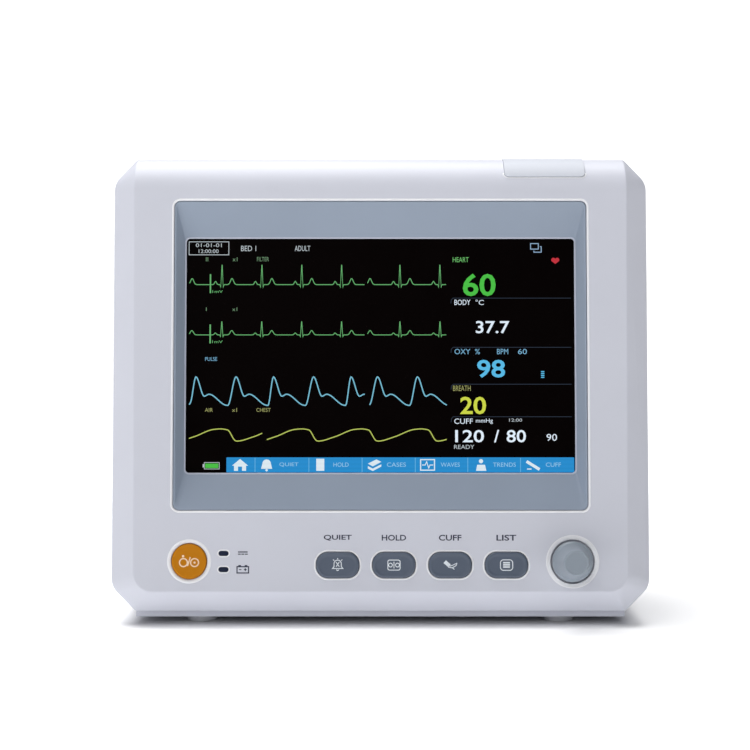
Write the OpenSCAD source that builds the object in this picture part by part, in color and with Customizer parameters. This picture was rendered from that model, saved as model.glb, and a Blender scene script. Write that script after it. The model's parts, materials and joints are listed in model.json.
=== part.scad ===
// Bedside patient monitor. Millimetres, +Z up, +X to the right seen from the front,
// the front faces -Y. The origin is under the middle of the case, at the level of the feet.
// The front face leans back, so face parts are drawn in face coordinates (see on_face):
// x across, z up the face from its bottom line, y inwards through the case.

/* [Case] */
// Width across the side bevels
case_w = 240.2; // [238:0.2:250]
// Width of the flat front face
face_w = 222; // [216:1:224]
// Height of the flat face up to the start of the rolled top
face_h = 179; // [178:0.5:184]
// Radius of the rolled top edge
roll_r = 17.8; // [17:0.1:18.2]
// Angle by which the front face leans back
recline = 7; // [6:0.5:8]
// Depth from the knob's tip to the back wall
depth = 120; // [119:1:126]
// Thickness of the moulded walls
wall = 2.5; // [2:0.1:2.8]
// Height of the feet
foot_h = 3; // [2:0.5:5]
// Diameter of the feet
foot_d = 13.8; // [8:0.2:18]

/* [Display] */
// Width of the visible screen
screen_w = 174; // [160:1:175]
// Height of the visible screen
screen_h = 105; // [96:1:106]
// Height of the screen's centre above the bottom line of the face
screen_z = 106.7; // [105:0.1:108]
// Width of the display window in the front casing
window_w = 184.2; // [182:0.2:188]
// Height of the display window
window_h = 138.2; // [136:0.2:139]
// Height of the window's centre above the bottom line of the face
window_z = 106.5; // [106:0.1:107]
// Depth of the screen behind the face
screen_depth = 6; // [5:0.1:6.2]

/* [Keys] */
// Width of a key
key_w = 18.9; // [16:0.1:20]
// Height of a key
key_h = 11.25; // [9:0.25:12]
// Corner radius of a key
key_r = 5.2; // [3:0.1:5.2]
// Distance between the keys' centres
key_pitch = 24.85; // [24:0.05:25]
// Place of the first key's centre
key_x = -18.9; // [-20:0.1:-18]
// Height of the keys' centres above the bottom line of the face
key_z = 13.4; // [13:0.1:15]
// Travel of a key
key_travel = 1; // [0.5:0.1:1]
// Diameter of the power button
power_d = 15.5; // [12:0.5:17]

/* [Knob] */
// Diameter of the knob's skirt
knob_d = 18; // [16:0.5:18.5]
// Diameter of the knob's flat tip
knob_tip_d = 11; // [9:0.5:13]
// How far the knob stands out of the face
knob_l = 16; // [12:0.5:18]
// Travel of the knob when pressed
knob_travel = 0.5; // [0.2:0.1:0.8]

/* [Handle] */
// Width of the carrying handle
handle_w = 140; // [110:2:142]
// Reach of the handle from its pivot to the grip
handle_reach = 40; // [36:1:42]

/* [Back] */
// Spacing of the threaded mounting holes
mount_pitch = 75; // [70:1:80]
// Diameter of the mounting thread
mount_d = 4; // [3:0.5:4]

/* [Hidden] */
$fn = 48;
tiny = 0.01;
far = 300;

// Colours
shell_grey = [0.82, 0.82, 0.86];
bezel_grey = [0.54, 0.60, 0.66];
slate = [0.34, 0.39, 0.46];
knob_grey = [0.55, 0.60, 0.65];
amber = [0.80, 0.52, 0.08];
board_green = [0.10, 0.36, 0.22];
steel = [0.74, 0.75, 0.77];
brass = [0.78, 0.62, 0.28];
black = [0.10, 0.10, 0.11];

// Face frame and the plane where the two casings meet
knob_at = [84.9, 14.85];
knob_front = knob_l * cos(recline) + (knob_tip_d / 2 - 0.4 - knob_at[1]) * sin(recline);
face_y = -depth / 2 + knob_front;
face_z = 15;
part_w = 16;
part_gap = 0.1;

// Case outline, in face coordinates
half_w = case_w / 2;
skirt_z = -7.3;
foot_line = 109.4;
corner_low = [half_w - 9, 7.1, 9];
corner_top = [half_w - 9, face_h + 2.4, 9];
face_edge = 0.8;
face_r = 10;
bevel_w = 8.5;

// Rear casing, in the case's own axes
back_y = depth / 2;
waist_half = 117;
waist_y = 50;
waist_z = [5, 199];
back_half = 111;
back_z = [10, 192];
corner_r = 8;
plinth_z = [foot_h, 12];
cover_inset = 0.6;

// Carrying handle and its trough
pivot = [8, 188];
trough_half = handle_w / 2 + 4;
trough_floor = 180;
arm_w = 9;
arm_r = 5;
grip_r = 7;
grip_bar_r = 5.5;
pin_r = 2.5;
pin_x = 76;
handle_y = pivot[0] + handle_reach;

// Middle of the four threaded mounting holes
mount_z = 115;

// Battery bay and door, in the right-hand side
bay = [[20, 20, 44], [130, 46, 88]];
door_recess = [[114, 15, 38], [130, 50, 94]];
door_hinge = [116.2, 47.4];
door_pin_r = 0.8;
knuckle_r = 1.9;
// Knuckles of the hinge: [bottom, top] of each
door_knuckles = [[42, 52], [80, 90]];
case_knuckles = [[38, 41.6], [52.4, 79.6], [90.4, 94]];

// Sensor panel recess, in the left-hand side
panel_x = -109.5;
panel_t = 2.5;
panel_y = [2, 48];
panel_z = [34, 160];
panel_mid = (panel_y[0] + panel_y[1]) / 2;
panel_face = panel_x - panel_t;
socket_z = [140, 112, 86, 58];
socket_lip = 3;
insert_x = panel_face + 5;
insert_t = 3;

// Connection recess in the back wall
io_recess = [[28, 50, 14], [92, 70, 38]];
io_z = 26;
dc_x = 41;
net_x = 62;
ground_x = 82;

// Stack behind the face, as distances from the face
lens_w = [screen_depth + 1.5, screen_depth + 2.6];
lcd_w = [screen_depth + 2.9, screen_depth + 8.4];
bracket_w = [15, 16.2];
key_board_w = [12.4, 14];
chassis_w = [30, 31.2];
board_w = [36.2, 37.8];
key_flange_w = [wall + 0.1, wall + 1.4];
switch_w = 9.8;
stem_end_w = switch_w - key_travel - 0.1;
encoder_w = [6.2, key_board_w[0]];

// Power button, and the two status lamps beside it
power_at = [-84.55, 15];
lamp_x = -69.35;
lamp_z = [11.4, 18.5];

// Alarm lens: its ends across the case, and its angles round the rolled top
alarm_x = [55.7, 91.8];
alarm_arc = [25.6, 93.6];
alarm_proud = 0.6;

// Air pump, its nozzle, the two valves and the hoses, in face coordinates
pump_at = [-46, 30, 46];
pump_r = 12;
nozzle_x = -54;
nozzle_r = 2;
hose_r = 3.2;
valve_x = -67;
valve_z = [55, 65];

// Fasteners
case_screws_at = [[-104, 20], [104, 20], [-104, 172], [104, 172]];
chassis_posts = [[-103, 40], [103, 40], [-103, 144], [103, 144]];
bracket_posts = [[-102, 60], [102, 60], [-102, 128], [102, 128]];
board_posts = [[-24, 76], [89, 76], [-24, 159], [89, 159],
               [-72, 76], [-40, 76], [-72, 159], [-40, 159],
               [16, 18], [89, 18], [16, 54], [89, 54]];
panel_screws_at = [[10, 37], [44, 37], [10, 157], [44, 157]];
feet_at = [[-80.7, -22.4], [80.7, -22.4], [-80.7, 44], [80.7, 44]];

// Speaker behind the back wall
speaker_at = [-62, 42];
speaker_r = 20;

// ---- Helpers ----

// Moves face coordinates into the case's own axes
module on_face() {
    translate([0, face_y, face_z]) rotate([-recline, 0, 0]) children();
}

// Extrudes a flat outline through the case, from y0 to y1
module slab(y0, y1) {
    translate([0, y1, 0]) rotate([90, 0, 0]) linear_extrude(y1 - y0) children();
}

// Round bar along the case's depth
module rod_y(x, z, y0, y1, r) {
    translate([x, y1, z]) rotate([90, 0, 0]) cylinder(r = r, h = y1 - y0);
}

// Round bar across the case
module rod_x(x0, x1, y, z, r) {
    translate([x0, y, z]) rotate([0, 90, 0]) cylinder(r = r, h = x1 - x0);
}

// Round bar straight up
module rod_z(x, y, z0, z1, r) {
    translate([x, y, z0]) cylinder(r = r, h = z1 - z0);
}

// Tapered bar along the case's depth
module cone_y(x, z, y0, y1, r0, r1) {
    translate([x, y1, z]) rotate([90, 0, 0]) cylinder(r1 = r1, r2 = r0, h = y1 - y0);
}

// Box between two opposite corners
module block(a, b) {
    translate(a) cube(b - a);
}

// Block that is grown by d on every side
module grown(box, d) {
    block(box[0] - [d, d, d], box[1] + [d, d, d]);
}

// Flat rectangle with round corners, centred on its middle
module rounded(w, h, r) {
    square([w - 2 * r, h], center = true);
    square([w, h - 2 * r], center = true);
    for (x = [-1, 1], z = [-1, 1])
        translate([x * (w / 2 - r), z * (h / 2 - r)]) circle(r);
}

// Rounded rectangle at a height on the face
module rounded_at(x, z, w, h, r) {
    translate([x, z]) rounded(w, h, r);
}

// Points on a round corner
function arc(c, r, a0, a1, n) =
    [for (i = [0:n]) let (a = a0 + (a1 - a0) * i / n) [c[0] + r * cos(a), c[1] + r * sin(a)]];

// Right-hand half of the case outline, moved in by d, without and with the rolled top
function side_line(d) = concat(
    [[foot_line - 0.41 * d, skirt_z + d]],
    arc(corner_low, corner_low[2] - d, -45, 0, 4),
    arc(corner_top, corner_top[2] - d, 0, 52, 4));
function top_point(d) = [[face_w / 2 - 0.5 * d, face_h + roll_r - d]];
function mirrored(p) = [for (i = [len(p) - 1:-1:0]) [-p[i][0], p[i][1]]];
function whole(p) = concat(p, mirrored(p));

function face_line(d) = concat(
    arc([face_w / 2 - face_r, face_r], face_r - d, -90, 0, 8),
    [[face_w / 2 - d, face_h - 1]]);

module face_outline(d) {
    polygon(whole(face_line(d)));
}

module side_outline(d) {
    polygon(whole(side_line(d)));
}

module case_outline(d) {
    polygon(whole(concat(side_line(d), top_point(d))));
}

// Screw along the depth axis: a head at y0 that faces the back, and a shank to y1
module screw_in(x, z, y_seat, y_tip, r, head_r, head_h) {
    rod_y(x, z, y_tip, y_seat, r);
    difference() {
        rod_y(x, z, y_seat, y_seat + head_h, head_r);
        rod_y(x, z, y_seat + head_h - 1.1, y_seat + far, head_r * 0.45);
    }
}

// Tube along the depth axis
module tube_y(x, z, y0, y1, r, bore) {
    difference() {
        rod_y(x, z, y0, y1, r);
        rod_y(x, z, y0 - 1, y1 + 1, bore);
    }
}

// Socket shell that faces the left-hand side: a blind round mouth with a seat for its insulator
module round_socket(z, flange_r, mouth_r, body_r) {
    difference() {
        union() {
            rod_x(panel_face - socket_lip, panel_face, panel_mid, z, flange_r);
            rod_x(panel_face, panel_face + 16, panel_mid, z, body_r);
        }
        rod_x(panel_face - 4, insert_x, panel_mid, z, mouth_r);
        rod_x(panel_face, insert_x + insert_t, panel_mid, z, mouth_r - 0.5);
    }
}

// ---- Front casing and display ----

// Solid front casing, made smaller all round by d
module front_solid(d) {
    hull() {
        slab(d, d + 0.1) face_outline(d + face_edge);
        slab(d + face_edge, d + face_edge + 0.1) face_outline(d);
        rod_x(-face_w / 2 + d, face_w / 2 - d, roll_r, face_h, roll_r - d);
        slab(bevel_w + d / 2, bevel_w + d / 2 + 1) side_outline(d);
        slab(part_w - 0.5, part_w + (d > 0 ? 2 : 0)) case_outline(d + 0.05);
    }
}

// Space in the front casing that the alarm lens fills, grown by d
module alarm_ring(d, r_in) {
    start = alarm_arc[0] - 2 * d;
    thick = roll_r + alarm_proud + d - r_in;
    translate([alarm_x[0] - d, roll_r, face_h])
        rotate([0, 90, 0])
            rotate([0, 0, 270 - alarm_arc[1]])
                rotate_extrude(angle = alarm_arc[1] - start, $fn = 64)
                    translate([r_in, 0]) square([thick, alarm_x[1] - alarm_x[0] + 2 * d]);
}

module key_posts() {
    rod_y(-45, 20, 2, key_board_w[0], 2.4);
    rod_y(69.6, 23, 2, key_board_w[0], 2);
}

module front_panel() color(shell_grey) on_face() difference() {
    union() {
        difference() {
            front_solid(0);
            front_solid(wall);
        }
        // Bottom rim that meets the plinth of the rear cover
        difference() {
            slab(part_w - 3.2, part_w) polygon([
                [-foot_line, -10.1], [foot_line, -10.1], [foot_line, 0], [-foot_line, 0]]);
            block([-far, 0, skirt_z + wall], [far, part_w + 1, far]);
        }
        // Cup behind the knob and posts for the inner parts
        rod_y(knob_at[0], knob_at[1], wall - 0.5, wall + 1.8, knob_d / 2 + 2.6);
        key_posts();
        for (p = case_screws_at) rod_y(p[0], p[1], 2, part_w, 4);
        for (p = chassis_posts) rod_y(p[0], p[1], 2, part_w, 4);
        for (p = bracket_posts) rod_y(p[0], p[1], 2, bracket_w[0], 3.2);
    }
    block([-far, part_w, -far], [far, far, far]);
    slab(-1, wall + 1) rounded_at(0, window_z, window_w, window_h, 2.8);
    for (i = [0:3])
        slab(-1, wall + 1)
            rounded_at(key_x + i * key_pitch, key_z, key_w + 0.6, key_h + 0.6, key_r + 0.3);
    rod_y(power_at[0], power_at[1], -1, wall + 1, power_d / 2 + 0.3);
    for (z = lamp_z) slab(-1, wall + 1) rounded_at(lamp_x, z, 4.6, 2.4, 1.19);
    // Dish, well and shaft hole of the knob
    rod_y(knob_at[0], knob_at[1], -1, wall, knob_d / 2 + 1);
    cone_y(knob_at[0], knob_at[1], -tiny, 0.9, knob_d / 2 + 2.6, knob_d / 2 + 1);
    rod_y(knob_at[0], knob_at[1], wall - 1, wall + 3, 4);
    alarm_ring(0.25, roll_r - wall - 0.4);
    for (p = case_screws_at) rod_y(p[0], p[1], 7, part_w + 1, 1.5);
    for (p = chassis_posts) rod_y(p[0], p[1], 8, part_w + 1, 1.3);
    for (p = bracket_posts) rod_y(p[0], p[1], 8, bracket_w[0] + 1, 1.1);
}

module display_bezel() color(bezel_grey) on_face() difference() {
    union() {
        slab(0.15, screen_depth + 1.4)
            rounded_at(0, window_z, window_w - 0.4, window_h - 0.4, 2.6);
        slab(wall + 0.1, wall + 1.6) rounded_at(0, window_z, window_w + 8, window_h + 4, 2.6);
    }
    hull() {
        slab(-tiny, 0.15) rounded_at(0, window_z, window_w - 2.2, window_h - 2.2, 2, $fn = 24);
        slab(screen_depth, screen_depth + tiny)
            rounded_at(0, screen_z, screen_w + 1.2, screen_h + 1.2, 1.8, $fn = 24);
    }
    slab(screen_depth - 1, screen_depth + 2) rounded_at(0, screen_z, screen_w, screen_h, 1.8);
}

module screen_lens() color([0.2, 0.22, 0.25, 0.5]) on_face()
    slab(lens_w[0], lens_w[1]) rounded_at(0, screen_z, screen_w + 6, screen_h + 6, 2);

module lcd_frame() color(steel) on_face() difference() {
    slab(lcd_w[0], lcd_w[1]) rounded_at(0, screen_z, 190, 117, 1);
    slab(lcd_w[0] - 1, lcd_w[0] + 0.6) rounded_at(0, screen_z, screen_w + 1, screen_h + 1, 0.5);
    slab(lcd_w[0] + 0.5, lcd_w[1] - 0.5) rounded_at(0, screen_z, 188.4, 115.4, 0.5);
    slab(lcd_w[1] - 1, lcd_w[1] + 1) rounded_at(0, screen_z, 60, 40, 2);
}

module lcd_panel() color(black) on_face()
    slab(lcd_w[0] + 0.55, lcd_w[1] - 0.55) rounded_at(0, screen_z, 188.2, 115.2, 0.5);

module lcd_bracket() color(steel) on_face() difference() {
    union() {
        slab(bracket_w[0], bracket_w[1]) rounded_at(0, 96, 212, 84, 4);
        slab(bracket_w[0], bracket_w[1]) rounded_at(0, screen_z, 180, 108, 2);
    }
    for (p = bracket_posts) rod_y(p[0], p[1], 0, far, 1.7);
    // Room round the chassis posts, and the openings that make it lighter
    for (x = [-1, 1])
        slab(0, far) translate([x * 60, screen_z]) rounded(36, 60, 4);
}

module bracket_screws() color(steel) on_face()
    for (p = bracket_posts)
        screw_in(p[0], p[1], bracket_w[1], 8.5, 1.05, 2.6, 1.8);

module display_board() color(board_green) on_face() {
    slab(19.2, 20.6) rounded_at(0, screen_z + 4, 70, 46, 1.5);
    for (x = [-31, 31], z = [-19, 19])
        rod_y(x, screen_z + 4 + z, bracket_w[1], 19.2, 2.2);
    slab(20.6, 23) rounded_at(-12, screen_z + 6, 16, 16, 0.5);
    slab(20.6, 25) rounded_at(18, screen_z - 12, 24, 6, 0.5);
}

module display_ribbon() color([0.85, 0.82, 0.72]) on_face()
    translate([6, 0, 0]) rotate([90, 0, 90]) linear_extrude(22) polygon([
        [25.1, 95], [25.4, 95], [25.4, 60.3], [38.4, 60.3], [38.4, 72], [38.1, 72],
        [38.1, 60.6], [25.7, 60.6], [25.7, 95.3], [25.1, 95.3]]);

module status_lenses() color([0.25, 0.3, 0.4]) on_face()
    for (z = lamp_z) slab(-0.15, 8.2) rounded_at(lamp_x, z, 4.4, 2.2, 1.09);

module status_leds() color([0.4, 0.9, 0.4]) on_face()
    for (z = lamp_z) slab(8.6, key_board_w[0]) rounded_at(lamp_x, z, 3.2, 1.6, 0.4);

module alarm_lens() color([0.93, 0.93, 0.95]) on_face() difference() {
    alarm_ring(0, roll_r - wall - 0.2);
    slab(part_w, part_w + 20) square([far * 2, far * 3], center = true);
}

module alarm_board() color(board_green) on_face() {
    slab(8.6, 10) rounded_at(73.4, 184, 32, 6, 0.5);
    for (x = [61, 69.3, 77.6, 85.9])
        slab(7.2, 8.6) rounded_at(x, 184, 3, 2.6, 0.4);
}

// ---- Controls ----

// Rounded key with a retaining flange and a stem, pressed along the depth axis
module key_cap(x, z) {
    slab(-1, key_flange_w[0]) rounded_at(x, z, key_w, key_h, key_r);
    slab(key_flange_w[0], key_flange_w[1])
        rounded_at(x, z, key_w + 2.6, key_h + 2.4, key_r + 1);
    rod_y(x, z, key_flange_w[1], stem_end_w, 2);
}

module key(i) color(slate) on_face() key_cap(key_x + i * key_pitch, key_z);

module mute_key() key(0);
module hold_key() key(1);
module cuff_key() key(2);
module menu_key() key(3);

module power_button() color(amber) on_face() {
    rod_y(power_at[0], power_at[1], -1, key_flange_w[0], power_d / 2);
    rod_y(power_at[0], power_at[1], key_flange_w[0], key_flange_w[1], power_d / 2 + 1.6);
    rod_y(power_at[0], power_at[1], key_flange_w[1], stem_end_w, 2);
}

module key_board() color(board_green) on_face() difference() {
    slab(key_board_w[0], key_board_w[1]) rounded_at(0, 15.5, 192, 19, 2);
    rod_y(-45, 20, 0, far, 1.6);
    rod_y(69.6, 23, 0, far, 1.2);
}

module key_switches() color(black) on_face()
    for (p = concat([power_at], [for (i = [0:3]) [key_x + i * key_pitch, key_z]])) {
        slab(switch_w + 0.6, key_board_w[0]) rounded_at(p[0], p[1], 6, 6, 0.5);
        rod_y(p[0], p[1], switch_w, switch_w + 0.6, 1.6);
    }

module encoder_body() color(steel) on_face() difference() {
    union() {
        slab(encoder_w[0], encoder_w[1]) rounded_at(knob_at[0], knob_at[1], 13, 13, 0.8);
        rod_y(knob_at[0], knob_at[1], wall + 2.2, encoder_w[0], 3.5);
    }
    rod_y(knob_at[0], knob_at[1], 0, encoder_w[0] + 1.5, 3.05);
    rod_y(knob_at[0], knob_at[1], encoder_w[0] + 1.2, encoder_w[1] - 0.8, 5.5);
}

// Detent wheel that turns in the encoder and carries the shaft through a flatted hole
module encoder_rotor() color(brass) on_face() difference() {
    rod_y(knob_at[0], knob_at[1], encoder_w[0] + 1.5, encoder_w[0] + 3.4, 5.3);
    intersection() {
        rod_y(knob_at[0], knob_at[1], 0, far, 3.06);
        block([0, 0, 0], [far, far, knob_at[1] + 2.06]);
    }
}

module shaft_shape(r, flat) intersection() {
    rod_y(knob_at[0], knob_at[1], -knob_l + 4, encoder_w[1] - 1.1 - knob_travel, r);
    block([0, -far, -far], [far, far, knob_at[1] + flat]);
}

module encoder_shaft() color(steel) on_face() shaft_shape(3, 2);

module knob() color(knob_grey) on_face() difference() {
    out_of_face() rotate_extrude($fn = 96) polygon(concat(
        [[0, -1.2], [knob_d / 2 - 0.2, -1.2], [knob_d / 2, -1], [knob_d / 2, 0.4],
         [knob_d / 2 - 0.5, 0.9]],
        [for (i = [1:6]) let (t = i / 7)
            [knob_d / 2 - 0.5 - (knob_d - knob_tip_d - 1) / 2 * pow(t, 0.75),
             0.9 + (knob_l - 1.4) * t]],
        [[knob_tip_d / 2, knob_l - 0.4], [knob_tip_d / 2 - 0.4, knob_l], [0, knob_l]]));
    rod_y(knob_at[0], knob_at[1], -knob_l + 3.9, 3, 3.02);
}

// Turns a profile drawn along +z so that it stands out of the face at the knob's place
module out_of_face() {
    translate([knob_at[0], 0, knob_at[1]]) rotate([90, 0, 0]) children();
}

// ---- Rear casing ----

// Solid rear casing, made smaller all round by d
module rear_solid(d) {
    hull() {
        on_face() slab(part_w - (d > 0 ? 2 : 0), part_w + 1) case_outline(cover_inset + d);
        for (s = [-1, 1], z = [waist_z[0] + corner_r, waist_z[1] - corner_r])
            rod_y(s * (waist_half - corner_r), z, 10, waist_y, corner_r - d, $fn = 32);
        for (s = [-1, 1], z = [back_z[0] + corner_r, back_z[1] - corner_r])
            rod_y(s * (back_half - corner_r), z, back_y - 10, back_y - d, corner_r - d, $fn = 32);
    }
}

module screw_bosses() on_face()
    for (p = case_screws_at) rod_y(p[0], p[1], part_w - 5, far, 5.6);

// Hollow inside of the rear casing, leaving walls round each recess
module rear_hollow() difference() {
    rear_solid(wall);
    screw_bosses();
    block([-trough_half - wall, -wall, trough_floor - wall], [trough_half + wall, far, far]);
    for (s = [-1, 1]) rod_x(s * 79 - 5, s * 79 + 5, pivot[0], pivot[1], 5.5);
    grown(bay, wall);
    grown(door_recess, wall);
    block([-far, panel_y[0] - wall, panel_z[0] - wall],
          [panel_x + wall, panel_y[1] + wall, panel_z[1] + wall]);
    grown(io_recess, wall);
    for (x = [-1, 1], z = [-1, 1])
        rod_y(x * mount_pitch / 2, mount_z + z * mount_pitch / 2, back_y - 11, back_y, 4.8);
    tube_y(speaker_at[0], speaker_at[1], back_y - 9, back_y, speaker_r + 2.2, speaker_r + 0.2);
}

module vent_slots() {
    for (x = [-75, 75], i = [0:4])
        translate([x, back_y - 5, 118 + i * 7]) cube([40, 20, 2.4], center = true);
}

module speaker_holes() {
    rod_y(speaker_at[0], speaker_at[1], back_y - 5, back_y + 5, 1.2);
    for (ring = [1:3], i = [0:ring * 6 - 1]) let (a = i * 60 / ring)
        rod_y(speaker_at[0] + ring * 4.6 * cos(a), speaker_at[1] + ring * 4.6 * sin(a),
              back_y - 5, back_y + 5, 1.2);
}

module rear_cover() color(shell_grey) {
    difference() {
        union() {
            rear_solid(0);
            block([-foot_line, -40, plinth_z[0]], [foot_line, waist_y, plinth_z[1]]);
        }
        // Everything in front of the parting plane
        on_face() block([-far, -far, -far], [far, part_w + part_gap, far]);
        rear_hollow();
        block([-trough_half, 0, trough_floor], [trough_half, far, far]);
        for (s = [-1, 1]) rod_x(s * pin_x - 5.5, s * pin_x + 5.5, pivot[0], pivot[1], pin_r + 0.02);
        block(bay[0], bay[1]);
        block(door_recess[0], door_recess[1]);
        block([-far, panel_y[0], panel_z[0]], [panel_x, panel_y[1], panel_z[1]]);
        block([-far, panel_y[0] + 4, panel_z[0] + 6], [0, panel_y[1] - 4, panel_z[1] - 6]);
        for (p = panel_screws_at) rod_x(panel_x - 1, panel_x + 9, p[0], p[1], 1.1);
        block(io_recess[0] - [0, 10, 0], io_recess[1]);
        on_face() for (p = case_screws_at) {
            rod_y(p[0], p[1], 0, far, 1.7);
            rod_y(p[0], p[1], part_w + 10, far, 3.5);
        }
        for (x = [-1, 1], z = [-1, 1])
            rod_y(x * mount_pitch / 2, mount_z + z * mount_pitch / 2, back_y - 8, far, 3);
        vent_slots();
        speaker_holes();
        for (p = feet_at) translate([p[0], p[1], -1]) cylinder(r = 2.5, h = 20);
    }
    // Fixed knuckles of the battery door's hinge
    difference() {
        for (k = case_knuckles) {
            rod_z(door_hinge[0], door_hinge[1], k[0], k[1], knuckle_r);
            block([door_hinge[0] - knuckle_r, door_hinge[1], k[0]],
                  [door_hinge[0] + 0.6, door_recess[1][1] + 0.2, k[1]]);
        }
        rod_z(door_hinge[0], door_hinge[1], 30, 100, door_pin_r + 0.02);
    }
}

module case_gasket() color(black) on_face() slab(part_w - 1, part_w + 1) difference() {
    case_outline(cover_inset + wall + 0.2);
    case_outline(cover_inset + wall + 1.6);
}

module case_screws() color(steel) on_face()
    for (p = case_screws_at) screw_in(p[0], p[1], part_w + 10, 8, 1.45, 2.8, 2.4);

module feet() color([0.75, 0.76, 0.78])
    for (p = feet_at) translate([p[0], p[1], 0]) {
        difference() {
            cylinder(r = foot_d / 2, h = foot_h);
            translate([0, 0, -1]) cylinder(r = 2, h = 2);
        }
        cylinder(r = 2.4, h = 8.2);
    }

// ---- Frame, boards and pump ----

module chassis_standoffs() color(brass) on_face()
    for (p = chassis_posts) difference() {
        union() {
            translate([p[0], chassis_w[0], p[1]])
                rotate([90, 0, 0]) cylinder(r = 3.2, h = chassis_w[0] - part_w, $fn = 6);
            rod_y(p[0], p[1], 8.5, part_w, 1.2);
        }
        rod_y(p[0], p[1], chassis_w[0] - 6, far, 1.3);
    }

module chassis_plate() color(steel) on_face() difference() {
    union() {
        slab(chassis_w[0], chassis_w[1]) rounded_at(0, 92, 214, 114, 4);
        slab(chassis_w[0], chassis_w[1]) rounded_at(0, 88, 190, 154, 4);
        for (p = chassis_posts) screw_in(p[0], p[1], chassis_w[1], 25, 1.2, 2.6, 1.8);
    }
    slab(0, far) rounded_at(17, 61, 30, 8, 3);
    slab(0, far) rounded_at(60, 115, 30, 40, 3);
}

module board_standoffs() color(brass) on_face()
    for (p = board_posts) {
        rod_y(p[0], p[1], chassis_w[1], board_w[0], 2.4);
        rod_y(p[0], p[1], board_w[1], board_w[1] + 1.6, 2.4);
        rod_y(p[0], p[1], board_w[0] - 1, board_w[1] + 1, 1.3);
    }

// Circuit board with a hole at each of its four posts
module board(first, x, z, w, h) difference() {
    slab(board_w[0], board_w[1]) rounded_at(x, z, w, h, 2);
    for (i = [first:first + 3]) rod_y(board_posts[i][0], board_posts[i][1], 0, far, 1.4);
}

module chip(x, z, w, h, t) slab(board_w[1], board_w[1] + t) rounded_at(x, z, w, h, 0.4);

module main_board() color(board_green) on_face() board(0, 32.5, 117.5, 123, 93);

module main_board_parts() color(black) on_face() {
    chip(30, 120, 27, 27, 2);
    chip(62, 132, 14, 20, 1.4);
    chip(62, 108, 14, 20, 1.4);
    chip(0, 135, 18, 18, 1.6);
    chip(17, 75, 26, 6, 5);
    chip(-10, 95, 12, 12, 4);
    for (x = [-12, 0, 12]) rod_y(x + 60, 88, board_w[1], board_w[1] + 8, 3.1);
    rod_y(0, 112, board_w[1], board_w[1] + 3, 10);
}

module measuring_board() color(board_green) on_face() board(4, -56, 117.5, 40, 93);

module measuring_shield() color(steel) on_face() {
    chip(-56, 127, 30, 50, 7);
    chip(-56, 89, 22, 8, 6);
}

module power_board() color(board_green) on_face() board(8, 52.5, 36, 83, 46);

module power_parts() color(black) on_face() {
    chip(40, 38, 22, 20, 12);
    for (x = [62, 76]) rod_y(x, 40, board_w[1], board_w[1] + 12, 5);
    chip(70, 24, 26, 8, 7);
    chip(27, 24, 10, 8, 9);
}

module air_pump() color(steel) on_face() {
    rod_x(-42, -8, pump_at[2], pump_at[1], pump_r);
    rod_x(-8, -5, pump_at[2], pump_at[1], 4);
    block([-36, chassis_w[1], 20], [-14, pump_at[2], 40]);
}

module pump_head() color(black) on_face() {
    difference() {
        block([-62, 34, 17.5], [-42, 58, 42.5]);
        rod_y(-52, 30, 50, 70, 4);
    }
    rod_z(nozzle_x, 40, 42.5, 50, nozzle_r);
}

module air_valves() color([0.85, 0.85, 0.88]) on_face()
    for (z = valve_z) {
        block([-76, chassis_w[1], z - 4.5], [-58, 46, z + 4.5]);
        rod_y(valve_x, z, 46, 51, nozzle_r);
    }

// Row-frame place of a point given in face coordinates
function off_face(p) = [
    p[0],
    face_y + p[1] * cos(recline) + p[2] * sin(recline),
    face_z - p[1] * sin(recline) + p[2] * cos(recline)];

// Round hose through a list of points, with a slightly wider elbow at each corner
module hose(points, r) {
    for (i = [0:len(points) - 2]) {
        run = points[i + 1] - points[i];
        translate(points[i])
            rotate([0, acos(run[2] / norm(run)), atan2(run[1], run[0])])
                cylinder(r = r, h = norm(run));
    }
    for (i = [1:1:len(points) - 2]) translate(points[i]) sphere(r = r + 0.35);
}

// Air hoses from the pump to the valves and on to the cuff socket
module air_tubes() color([0.9, 0.9, 0.92, 0.8]) difference() {
    union() {
        hose([off_face([nozzle_x, 40, 46]), off_face([nozzle_x, 40, 60]),
              off_face([nozzle_x, 54, 60]), off_face([valve_x, 54, 60])], hose_r);
        hose([off_face([valve_x, 49, valve_z[0]]), off_face([valve_x, 54, valve_z[0]]),
              off_face([valve_x, 54, valve_z[1]]), off_face([-80, 54, valve_z[1]]),
              [-86, panel_mid, socket_z[3]], [-99, panel_mid, socket_z[3]]], hose_r);
        on_face() rod_y(valve_x, valve_z[1], 47.5, 54, hose_r + 0.2);
    }
    on_face() {
        rod_z(nozzle_x, 40, 42, 50.1, nozzle_r + 0.05);
        for (z = valve_z) rod_y(valve_x, z, 40, 51.1, nozzle_r + 0.05);
    }
    rod_x(-far, panel_face + 20.1, panel_mid, socket_z[3], 2.45);
}

// ---- Patient connections ----

module sensor_panel() color(bezel_grey) difference() {
    block([panel_face, panel_y[0] + 0.3, panel_z[0] + 0.3],
          [panel_x, panel_y[1] - 0.3, panel_z[1] - 0.3]);
    rod_x(-far, 0, panel_mid, socket_z[0], 11.1);
    rod_x(-far, 0, panel_mid, socket_z[1], 9.1);
    for (s = [-1, 1]) rod_x(-far, 0, panel_mid + s * 9, socket_z[2], 4.6);
    rod_x(-far, 0, panel_mid, socket_z[3], 8.1);
    for (p = panel_screws_at) rod_x(-far, 0, p[0], p[1], 1.4);
}

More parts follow.
